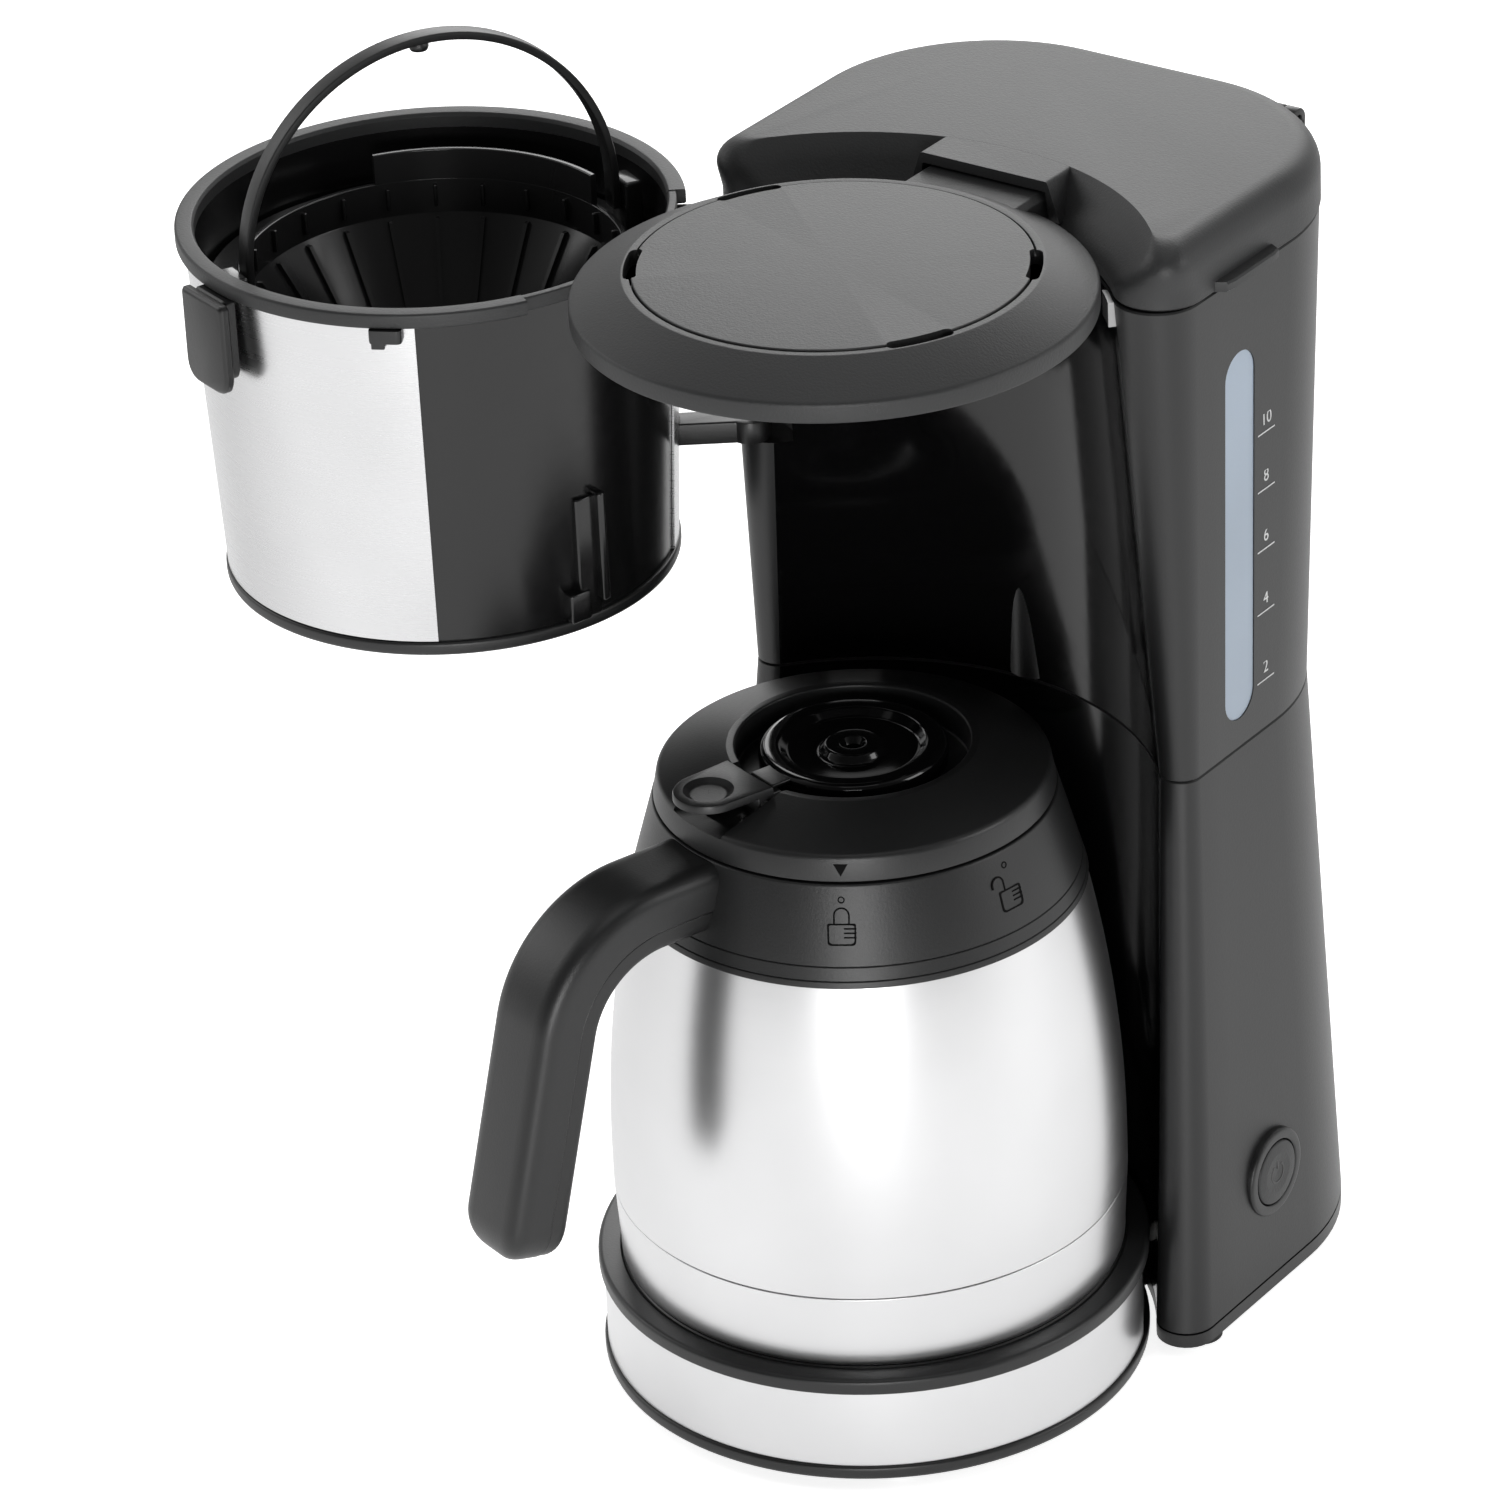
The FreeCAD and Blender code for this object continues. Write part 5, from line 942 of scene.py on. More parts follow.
@dataclass
class TankLid:
    """Tank lid with its concave facet, arch, thumb tab and hinge knuckles."""

    low: float = 313.4
    facet: float = 317.0
    shoulder: float = 322.5
    top: float = 331.0
    over: float = 0.4
    wall: float = 2.2
    crown: Outline = Outline(67.4, 148.0, 46.0, 83.5, 3.5)
    tab_low: float = 313.4
    tab_high: float = 316.2
    hinge: Point = (159.6, 319.4)

    def outline(self, height: float) -> Outline:
        """Lid outline at a height, with a rounded shoulder and a straight front facet.

        Args:
            height: Height in millimetres.

        Returns:
            The outline there.
        """
        rim = replace(TOP.inset(-self.over), hollow=TOP.hollow + self.over)
        rise = max(0.0, (height - self.facet) / (self.top - self.facet))
        curve = max(0.0, (height - self.shoulder) / (self.top - self.shoulder))
        pull = 1 - math.sqrt(max(0.0, 1 - curve * curve))
        front = rim.mixed(self.crown, rise)
        return replace(rim.mixed(self.crown, pull), hollow=front.hollow, nose=front.nose)

    def build(self) -> None:
        """Model and dress the tank lid."""
        heights = [self.low, self.low + 0.5, self.facet, 320.0, self.shoulder]
        rounding = self.top - self.shoulder
        heights += [self.shoulder + rounding * math.sin(QUARTER * i / 9) for i in range(1, 10)]
        loops = [self.outline(self.low + 0.4).inset(0.4).loop(self.low)]
        loops += [self.outline(z).loop(z) for z in heights[1:]]
        body = loft("lid_body", loops)
        room = [self.low - 1, self.facet - 1, 321.0, 325.0, 328.6]
        loops = [self.outline(min(z + self.wall, self.top)).inset(self.wall).loop(z) for z in room]
        boolean(body, loft("lid_room", loops))
        boolean(body, self.arch("arch_form", 24.0, 20.2, 319.8, self.top - 0.02, 69.5, 86.0, 1.2), "UNION")
        boolean(body, self.arch("arch_tunnel", 21.8, 19.6, 310.0, 328.0, 50.0, 99.5, 0.3))
        boolean(body, rod("arch_front", (0, 0, 300), (0, 0, 1), 40, 69.4, 0.01, 128))
        pieces = [body, self.tab()]
        for low, high in both_sides(30.0, 37.7):
            pieces.append(slab("knuckle_bar", (low, 147, 315.8), (high, self.hinge[0], 323.0), 0.8))
            pieces.append(rod("knuckle_eye", (low, *self.hinge), (1, 0, 0), high - low, 3.6, 0.4))
        dress(join(pieces, "tank_lid_body"), GRAIN, "tank_cover", ["tank_lid"])

    def arch(self, name: str, half_low: float, half_top: float, low: float, high: float,
             front: float, rear: float, edge: float) -> Piece:
        """Run the arch's section from front to rear.

        Args:
            name: Name of the piece.
            half_low: Half width at its foot.
            half_top: Half width at its crown.
            low: Height of its foot.
            high: Height of its crown.
            front: Front end.
            rear: Rear end.
            edge: Rounding of the crown.

        Returns:
            The prism.
        """
        ring = fillet([(-half_low, low), (half_low, low), (half_top, high, edge), (-half_top, high, edge)])
        return prism(name, ring, "y", (front, rear))

    def tab(self) -> Piece:
        """Thumb tab on the right of the lid's rim.

        Returns:
            The tab.
        """
        root, edge = 74.0, 0.5
        ring = [(root, 65.0), (78.0, 67.0), (78.6, 70.0), (78.6, 89.0), (78.0, 92.0), (root, 94.0)]
        rows = [(self.tab_low, edge), (self.tab_low + 0.4, 0.0), (self.tab_high - 0.5, 0.0),
                (self.tab_high, edge)]
        return loft("lid_tab", [[Vector((x - (inset if x > root else 0.0), y, z)) for x, y in ring]
                                for z, inset in rows])


@dataclass
class BrewHead:
    """Brew head disc with its panel, vent slots and neck."""

    radius: float = 69.0
    low: float = 317.5
    lip: float = 323.0
    shoulder: float = 55.0
    top: float = 330.0
    panel: float = 52.4
    seat: float = 328.2
    slots: tuple[float, ...] = (30, 150, 210, 330)
    slot_half: float = 8.2
    slot_radius: float = 52.7
    slot_wide: float = 1.75
    slot_cut: Point = (325.0, 333.0)

    def build(self) -> None:
        """Model and dress the brew head."""
        disc = lathe("head_disc", [
            (self.radius - 2.2, self.low), (self.radius, self.low, 0.7), (self.radius, self.lip, 1.6),
            (self.shoulder, self.top, 1.2), (self.panel + 0.5, self.top, 0.3), (self.panel + 0.5, self.seat),
            (AXIS, self.seat), (AXIS, 326.0), (52.8, 326.0), (self.radius - 2.2, 320.8)], steps=192)
        neck = self.neck()
        for angle in self.slots:
            boolean(disc, self.slot_tool(angle))
        dress(join([disc, neck], "brew_head"), GRAIN, "machine", ["head_cover"])
        under = self.seat + 0.05
        plate = lathe("head_plate", [(AXIS, under), (self.panel, under), (self.panel, self.top + 0.35, 0.4),
                                     (AXIS, self.top + 0.4)], steps=192)
        for angle in self.slots:
            boolean(plate, self.slot_tool(angle))
        dress(plate, GRAIN, "machine", ["head_panel"])

    def slot_tool(self, angle: float) -> Piece:
        """Rounded slot along the panel's edge.

        Args:
            angle: Middle of the slot in degrees.

        Returns:
            The cutter.
        """
        middle, wide = self.slot_radius, self.slot_wide
        first, last = math.radians(angle - self.slot_half), math.radians(angle + self.slot_half)
        ring = arc_points((0, 0), middle + wide, first, last, 25)
        ring += self.slot_end(last, last)
        ring += arc_points((0, 0), middle - wide, last, first, 25)
        ring += self.slot_end(first, first + math.pi)
        return prism("slot_tool", ring, "z", self.slot_cut)

    def slot_end(self, place: float, start: float) -> list[Point]:
        """Half round at one end of a slot, without its end points.

        Args:
            place: Direction of its centre in radians.
            start: Where its arc starts, in radians.

        Returns:
            The points.
        """
        hub = (self.slot_radius * math.cos(place), self.slot_radius * math.sin(place))
        return arc_points(hub, self.slot_wide, start, start + math.pi, 9)[1:-1]

    def neck(self) -> Piece:
        """Neck from the disc back into the tank lid.

        Returns:
            The neck.
        """
        half, shoulder, crown, top, edge = 19.0, 325.6, 17.6, 327.2, 1.0
        ring = fillet([(-half, self.low), (half, self.low), (half, shoulder, edge), (crown, top, edge),
                       (-crown, top, edge), (-half, shoulder, edge)])
        return prism("neck", ring, "y", (54.0, 98.0))


@dataclass
class Filter:
    """Swing-out filter: bucket, rim, steel wrap, grip, insert and bail, drawn in the open rest pose."""

    centre: Point = (-133.0, 0.0)
    swing: float = 106.1234
    low_radius: float = 61.6
    top_radius: float = 66.0
    floor: float = 216.8
    top: float = 312.4
    rim: float = 69.0
    rim_top: float = 316.6
    hinge: Point = (-66.5, 50.0)
    wall: float = 2.2
    base: float = 219.2
    ledge: Point = (293.2, 295.6)
    arms: Point = (243.4, 305.6)
    arm_height: float = 6.6
    bail_turn: float = 169.1
    grip_turn: float = 357.6
    catch_turn: float = -62.3
    wrap_span: Point = (130.5, 410.1)
    ribs: int = 24
    faces: int = 160

    def radius(self, height: float) -> float:
        """Outer radius of the bucket at a height."""
        spread = self.top_radius - self.low_radius
        return self.low_radius + spread * (height - self.floor) / (self.top - self.floor)

    def build(self) -> None:
        """Model and dress the filter."""
        self.bucket()
        self.skin()
        self.insert()
        self.bail()
        self.spring()

    def bucket(self) -> None:
        """Bucket with outlet nose, rear rib and hinge arms."""
        under, over = self.ledge
        mouth, room_low = self.top_radius - self.wall, self.radius(self.base) - self.wall
        body = lathe("bucket_body", [
            (6.0, 197), (9.5, 197, 0.6), (9.5, self.floor, 1.0), (self.low_radius, self.floor),
            (self.top_radius, self.top), (mouth, self.top), (self.radius(over) - self.wall, over),
            (60.4, over), (60.4, under), (self.radius(under) - self.wall, under),
            (room_low, self.base), (6.0, self.base)], self.centre, self.faces)
        pieces, arms = [body], []
        turn, reach = self.hinge_place()
        for low in self.arms:
            bar = slab("arm_bar", (61.0, -4.0, low), (reach, 4.0, low + self.arm_height), 0.6, turn,
                       self.centre)
            eye = rod("arm_eye", (*self.hinge, low), (0, 0, 1), self.arm_height, 5.5, 0.5)
            arm = boolean(bar, eye, "UNION")
            boolean(arm, rod("arm_bore", (*self.hinge, low - 1), (0, 0, 1), 9, 2.06, 0.01))
            room = lathe("arm_room", [(AXIS, self.base), (room_low, self.base), (mouth, self.top),
                                      (AXIS, self.top)], self.centre, 96)
            arms.append(boolean(arm, room))
        turn = 90 - self.swing
        for name, low, high, edge in (
                ("rear_rib", (61.3, -4.2, self.floor + 0.6), (64.6, 3.0, 253.0), 0.6),
                ("rib_fin", (61.3, 1.8, self.floor + 5.0), (67.0, 4.2, 254.0), 0.8),
                ("rib_foot", (60.6, -8.0, self.floor + 0.6), (65.6, -1.4, 226.0), 0.6)):
            pieces.append(slab(name, low, high, edge, turn, self.centre))
        dress(join(pieces, "bucket"), BUCKET, "filter", ["filter_bucket"])
        dress(join(arms, "hinge_arms"), DARK, "filter")

    def hinge_place(self) -> Point:
        """Where the hinge lies from the bucket's axis.

        Returns:
            Its direction in degrees and its distance in millimetres.
        """
        across, along = self.hinge[0] - self.centre[0], self.hinge[1] - self.centre[1]
        return math.degrees(math.atan2(along, across)), math.hypot(across, along)

    def skin(self) -> None:
        """Steel wrap, rim, base ring, grip and catch."""
        low, high, gap, sheet = 217.1, 312.1, 0.1, 0.6
        start, end = [angle - self.swing for angle in self.wrap_span]
        strip = [(self.radius(low) + gap, low), (self.radius(low) + gap + sheet, low, 0.15),
                 (self.radius(high) + gap + sheet, high, 0.15), (self.radius(high) + gap, high)]
        wrap = arc_sweep("bucket_wrap", strip, start, end, self.centre, self.faces)
        turn, _ = self.hinge_place()
        for gate in self.arms:
            low, high = gate - 0.4, gate + self.arm_height + 0.4
            boolean(wrap, slab("wrap_gate", (60, -4.4, low), (75, 4.4, high), 0, turn, self.centre))
        # The wrap's steel is toned darker than the carafe's as painted shade.
        dress(wrap, STEEL_WRAP_SHADED, "filter", ["steel_wrap"])
        inner = self.top_radius - self.wall
        middle, span = 290.8, 289.5
        start = middle - span / 2 - self.swing
        thick = arc_sweep("rim_thick", [(inner, self.top), (self.rim, self.top, 0.7),
                                        (self.rim, self.rim_top, 0.8),
                                        (inner + 0.6, self.rim_top, 0.5), (inner, self.rim_top - 1.0, 0.3)],
                          start, start + span, self.centre, self.faces)
        thin = lathe("rim_thin", [(inner + 0.02, self.top), (66.4, self.top, 0.4),
                                  (66.4, self.rim_top - 0.2, 0.5),
                                  (inner + 0.6, self.rim_top - 0.2, 0.4), (inner + 0.02, self.rim_top - 1.2)],
                     self.centre, self.faces)
        dress(join([thick, thin], "rim"), GRAIN, "filter", ["bucket_rim"])
        foot = lathe("bucket_bead", [(57.0, 212.8), (62.8, 212.8, 1.6), (62.8, self.floor, 1.0),
                                     (57.0, self.floor)],
                     self.centre, self.faces)
        dress(foot, SATIN, "filter", ["base_ring"])
        self.grip()
        self.catch()

    def grip(self) -> None:
        """Swing grip: a rounded plate on a narrower web, hung from the rim close to the wall."""
        turn = self.grip_turn - self.swing
        pieces = [self.tongue("grip_plate", 10.0, (70.6, 73.6), 285.8, 6.0, turn),
                  self.tongue("grip_web", 7.4, (66.9, 71.0), 288.4, 4.5, turn)]
        dress(join(pieces, "grip"), DARK, "filter", ["swing_grip"])

    def tongue(self, name: str, half: float, depth: Point, low: float, corner: float, turn: float) -> Piece:
        """Plate with rounded lower corners and soft edges that hangs from the bucket's top.

        Args:
            name: Name of the piece.
            half: Half width.
            depth: Inner and outer distance from the bucket's axis.
            low: Its lower end.
            corner: Radius of the lower corners.
            turn: Direction from the axis in degrees.

        Returns:
            The plate.
        """
        high = self.top - 0.1
        ring = fillet([(-half, low, corner), (half, low, corner), (half, high, 1.5), (-half, high, 1.5)], 8)
        middle = (low + high) / 2
        inner, outer = depth
        rows = [(inner, 0.6), (inner + 0.6, 0.0), (outer - 0.9, 0.0), (outer - 0.3, 0.4), (outer, 1.0)]
        loops = []
        for reach, inset in rows:
            wide, tall = 1 - inset / half, 1 - inset / (high - middle)
            loops.append([Vector((reach, y * wide, middle + (z - middle) * tall)) for y, z in ring])
        piece = loft(name, loops)
        piece.data.transform(turned(turn, self.centre))
        return piece

    def catch(self) -> None:
        """Rim catch: a rounded tongue under the rim with a small stub behind it."""
        root, middle, half = 66.8, 68.0, 4.4
        ring = fillet([(root, -half), (70.0, -half, 1.0), (70.2, half, 2.4), (root, half)])
        rows = [(308.6, 0.97), (309.2, 1.0), (312.0, 1.0), (312.3, 0.99)]
        plate = loft("catch_plate", [[Vector((middle + (r - middle) * grow, t * grow, z)) for r, t in ring]
                                     for z, grow in rows])
        stub = slab("catch_stub", (root, -4.2, 306.1), (68.2, -0.6, 309.4), 0.3)
        piece = join([plate, stub], "catch")
        piece.data.transform(turned(self.catch_turn, self.centre))
        dress(piece, SATIN, "filter", ["rim_catch"])

    def insert(self) -> None:
        """Filter insert with its cone, ribs, flange, raised wall and bail blocks."""
        outer, inner, flange, seat, plate, lip = 53.0, 51.2, 62.0, 295.7, 298.1, 302.6
        body = lathe("insert_body", [
            (4.0, 229.0), (12.0, 229.0, 0.8), (outer, 291.0, 0.6), (outer, seat), (flange, seat),
            (flange, plate, 0.7), (outer, plate, 0.3), (outer, lip, 0.4), (inner, lip, 0.4),
            (inner, 292.4, 0.5), (10.2, 230.8), (4.0, 230.8)],
            self.centre, self.faces)
        wall = arc_sweep("insert_wall", [(51.25, 301.0), (52.95, 301.0), (52.95, 311.3, 0.5),
                                         (51.25, 311.3, 0.5)],
                         70, 146, self.centre, 48)
        pieces = [body, wall]
        for i in range(self.ribs):
            angle = (i + 0.5) * 360 / self.ribs
            pieces.append(self.rib(angle))
            pieces.append(slab("tick", (49.9, -0.5, 294.6), (51.6, 0.5, 301.0), 0.3, angle, self.centre))
        axis = self.bail_turn - self.swing
        for low, high in both_sides(56.0, 61.4):
            pieces.append(slab("bail_block", (low, -5.0, 297.0), (high, 5.0, 311.5), 1.0, axis, self.centre))
        dress(join(pieces, "insert"), INSERT, "insert", ["filter_insert"])

    def rib(self, angle: float) -> Piece:
        """One rib down the inside of the cone.

        Args:
            angle: Its direction in degrees.

        Returns:
            The rib.
        """
        spots = [(12.6, 233.5), (51.4, 291.4), (49.0, 291.4), (10.2, 233.5)]
        piece = prism("rib", spots, "y", (-0.6, 0.6))
        piece.data.transform(turned(angle, self.centre))
        return piece

    def bail(self) -> None:
        """Bail strap with its eyes, pins and nub."""
        axis_z, radius, thick, wide, crown = 306.5, 54.4, 2.4, 5.6, 367.0
        hub = crown - radius - thick / 2
        foot, edge = axis_z - 2.6, 0.7
        across, along = thick / 2, wide / 2
        section = fillet([(-across, -along, edge), (across, -along, edge), (across, along, edge),
                          (-across, along, edge)], 3)
        loops = []
        path: list[tuple[float, float, float]] = [(radius, foot, 0.0), (radius, hub, 0.0)]
        path += [(radius * math.cos(t), hub + radius * math.sin(t), t)
                 for t in [math.pi * k / 64 for k in range(1, 64)]]
        path += [(-radius, hub, math.pi), (-radius, foot, math.pi)]
        for x, z, t in path:
            loops.append([Vector((x + r * math.cos(t), w, z + r * math.sin(t))) for r, w in section])
        strap = loft("strap", loops)
        pieces = [strap, rod("nub", (0, 0, crown - 4.9), (0, 0, 1), 3.2, 2.7, 1.2, 32)]
        for (pin, _), (eye, _) in zip(both_sides(53.2, 60.0), both_sides(53.2, 55.6)):
            pieces.append(rod("pin", (pin, 0, axis_z), (1, 0, 0), 6.8, 2.0, 0.2, 24))
            pieces.append(rod("eye", (eye, 0, axis_z), (1, 0, 0), 2.4, 2.8, 0.3, 32))
        hoop = join(pieces, "bail_strap")
        hoop.data.transform(turned(self.bail_turn - self.swing, self.centre))
        dress(hoop, SATIN, "bail_handle", ["bail"])

    def spring(self) -> None:
        """Drip stop's coil spring, drawn over the CAD spring's height; the real spring closes up as the stop
        lifts.
        """
        low, high = [corner.z / MM for corner in map(Vector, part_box("drip_spring"))]
        wire, radius, turns, lift = 0.45, 4.1, 5, 4.0
        steps, sides = 24, 8
        count = turns * steps
        rise = (high - low - 2 * wire) / count
        loops = []
        for k in range(count + 1):
            turn = math.radians(360 / steps * k)
            out = Vector((math.cos(turn), math.sin(turn), 0.0))
            spot = Vector((*self.centre, low + wire + rise * k)) + out * radius
            loops.append([spot + (out * math.cos(a) + Vector((0, 0, math.sin(a)))) * wire
                          for a in [2 * math.pi / sides * i for i in range(sides)]])
        coil = dress(loft("drip_coil", loops), PIN, "drip_stop", ["drip_spring"])
        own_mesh(coil)


@dataclass
class Carafe:
    """Thermal carafe: steel cup and shell, collar with its marks, and the handle."""

    handle: float = 252.0
    low: float = 36.3
    seam: float = 58.5
    shell_top: float = 149.5
    collar_top: float = 176.7
    wide: float = 71.0
    sheet: float = 0.8
    bulge: float = 0.00143
    collar_low_radius: float = 62.3
    collar_top_radius: float = 54.6
    mark_height: float = 166.7
    shut_turn: float = -59.0
    open_turn: float = -10.4
    mouth: float = 46.4

    def build(self) -> None:
        """Model and dress the carafe."""
        foot, floor = 70.0, self.low + self.sheet
        cup = lathe("steel_cup", [(AXIS, self.low), (foot, self.low, 6.6), (foot, 40.3),
                                  (self.wide, self.seam - 0.15, 0.3), (70.2, self.seam - 0.05),
                                  (69.2, 41.0, 3.0), (66.0, floor), (AXIS, floor)], steps=192)
        dress(cup, STEEL, "carafe", ["carafe_cup"])
        widest = 68.0
        outer = [(70.2, self.seam + 0.05), (self.wide, self.seam + 0.15, 0.3), (self.wide, widest)]
        outer += [(self.wide - self.bulge * (z - widest) ** 2, z) for z in range(72, 149, 4)]
        outer += [(61.5, self.shell_top)]
        inner = [(60.7, self.shell_top)] + [(r - self.sheet, z) for r, z in reversed(outer[3:-1])]
        dress(lathe("steel_shell", outer + inner, steps=192), STEEL, "carafe", ["carafe_shell"])
        self.collar()
        for name, depth, half, node_name, finish in (
                ("handle_back", (-3.2, 9.2), 12.5, "handle_outer", SATIN),
                ("handle_front", (-9.2, -3.3), 12.0, "handle_inner", DARK)):
            dress(self.half(name, depth, half), finish, "carafe", [node_name])

    def cone(self, height: float) -> float:
        """Outer radius of the collar at a height."""
        share = (height - self.shell_top) / (self.collar_top - self.shell_top)
        return self.collar_low_radius + (self.collar_top_radius - self.collar_low_radius) * share

    def collar(self) -> None:
        """Collar with two thin grooves and the lock marks."""
        outer: list[tuple] = [(58.6, self.shell_top), (self.cone(self.shell_top), self.shell_top, 0.3)]
        half, deep = 0.25, 0.35
        for level in (151.4, 155.2):
            outer += [(self.cone(level - half), level - half), (self.cone(level) - deep, level),
                      (self.cone(level + half), level + half)]
        outer += [(self.cone(self.collar_top), self.collar_top, 0.8), (self.mouth, self.collar_top),
                  (self.mouth, 160.1), (46.0, 160.1), (46.0, 152.0)]
        dress(lathe("collar", outer, steps=192), SATIN, "carafe", ["carafe_collar"])
        for angle, open_shackle in ((self.shut_turn, False), (self.open_turn, True)):
            self.lock_mark(angle, open_shackle)

    def lock_mark(self, angle: float, open_shackle: bool) -> None:
        """Engraved padlock outline on the collar with a ring above it, made near-black as painted shade.

        Args:
            angle: Where it stands, in degrees.
            open_shackle: Whether its shackle is swung open.
        """
        low, high, line = -0.25, 0.1, 0.45
        half, tall, rims = 3.8, 6.0, []
        for inset in (0.0, line):
            side = half - inset
            rims.append(fillet([(-side, inset - tall, 1.2), (side, inset - tall, 1.2), (side, -inset, 0.6),
                                (-side, -inset, 0.6)]))
        rows = [(rims[0], low), (rims[0], high), (rims[1], high), (rims[1], low)]
        pieces = [loft("lock_body", [[Vector((x, y, z)) for x, y in rim] for rim, z in rows], closed=True)]
        shift = -3.6 if open_shackle else 0.0
        thin, thick = 1.75, 2.2
        bow = arc_sweep("lock_bow", [(thin, low), (thick, low), (thick, high), (thin, high)], 0, 180,
                        steps=24)
        bow.data.transform(Matrix.Translation(Vector((shift, thick, 0)) * MM))
        pieces.append(bow)
        for side, foot in ((-1, 1.4 if open_shackle else 0.0), (1, 0.0)):
            near, far = sorted((shift + side * thin, shift + side * thick))
            pieces.append(slab("lock_leg", (near, foot, low), (far, thick, high), 0))
        for level in (-1.6, -2.8, -4.0):
            pieces.append(slab("lock_line", (0.6, level, low), (3.9, level + 0.4, high), 0))
        ring = arc_sweep("lock_ring", [(0.6, low), (0.95, low), (0.95, high), (0.6, high)], 0, 359, steps=32)
        ring.data.transform(Matrix.Translation(Vector((0, 6.4, 0)) * MM))
        pieces.append(ring)
        mark = join(pieces, "lock_mark_%s" % ("open" if open_shackle else "shut"))
        lean = math.atan2(self.collar_low_radius - self.collar_top_radius, self.collar_top - self.shell_top)
        radius, turn = self.cone(self.mark_height), math.radians(angle)
        spot = (radius * math.cos(turn), radius * math.sin(turn), self.mark_height)
        mark.data.transform(facing(spot, turn + QUARTER, QUARTER - lean))
        # The mark's near-black colour is painted shade of the engraving.
        dress(mark, ENGRAVING_SHADE, "carafe")

    def half(self, name: str, depth: tuple[float, float], half: float) -> Piece:
        """One half of the handle along its bent centre line, with a rounded lower end.

        Args:
            name: Name of the piece.
            depth: Its inner and outer face from the centre line.
            half: Its half width.

        Returns:
            The half.
        """
        root_z, straight, bend, lean, low = 167.3, 72.1, 33.0, math.radians(13.9), 78.5
        back = depth[1] > 0
        parting = depth[0] if back else depth[1]
        outer_edge, inner_edge = (6.0, 0.6) if back else (0.6, 3.6)
        near, far = depth
        section = fillet([(near, -half, inner_edge), (far, -half, outer_edge), (far, half, outer_edge),
                          (near, half, inner_edge)], 7)
        path = [(48.0, root_z, QUARTER, 1.0), (straight, root_z, QUARTER, 1.0)]
        for k in range(1, 25):
            t = QUARTER + (lean - QUARTER) * k / 24
            path.append((straight + bend * math.cos(t), root_z - bend + bend * math.sin(t), t, 1.0))
        x, z, _, _ = path[-1]
        drop, nose = z - low, 10.0
        stops = [((drop - nose) * share, 1.0) for share in (0.35, 0.7, 1.0)]
        stops += [(drop - nose + nose * math.sin(QUARTER * k / 9), math.cos(QUARTER * k / 9))
                  for k in range(1, 10)]
        path += [(x + math.tan(lean) * fall, z - fall, lean, full) for fall, full in stops]
        loops = []
        for px, pz, t, full in path:
            wide, deep = 1 - 0.68 * (1 - full), 1 - 0.5 * (1 - full)
            loop = [(parting + (d - parting) * deep, w * wide) for d, w in section]
            loops.append([Vector((px + d * math.cos(t), w, pz + d * math.sin(t))) for d, w in loop])
        piece = loft(name, loops)
        low_radius, top_radius = self.collar_low_radius - 0.2, self.collar_top_radius - 0.2
        core = lathe("collar_core", [(AXIS, self.shell_top), (low_radius, self.shell_top),
                                     (top_radius, self.collar_top), (AXIS, self.collar_top)])
        boolean(piece, core)
        piece.data.transform(turned(self.handle))
        return piece


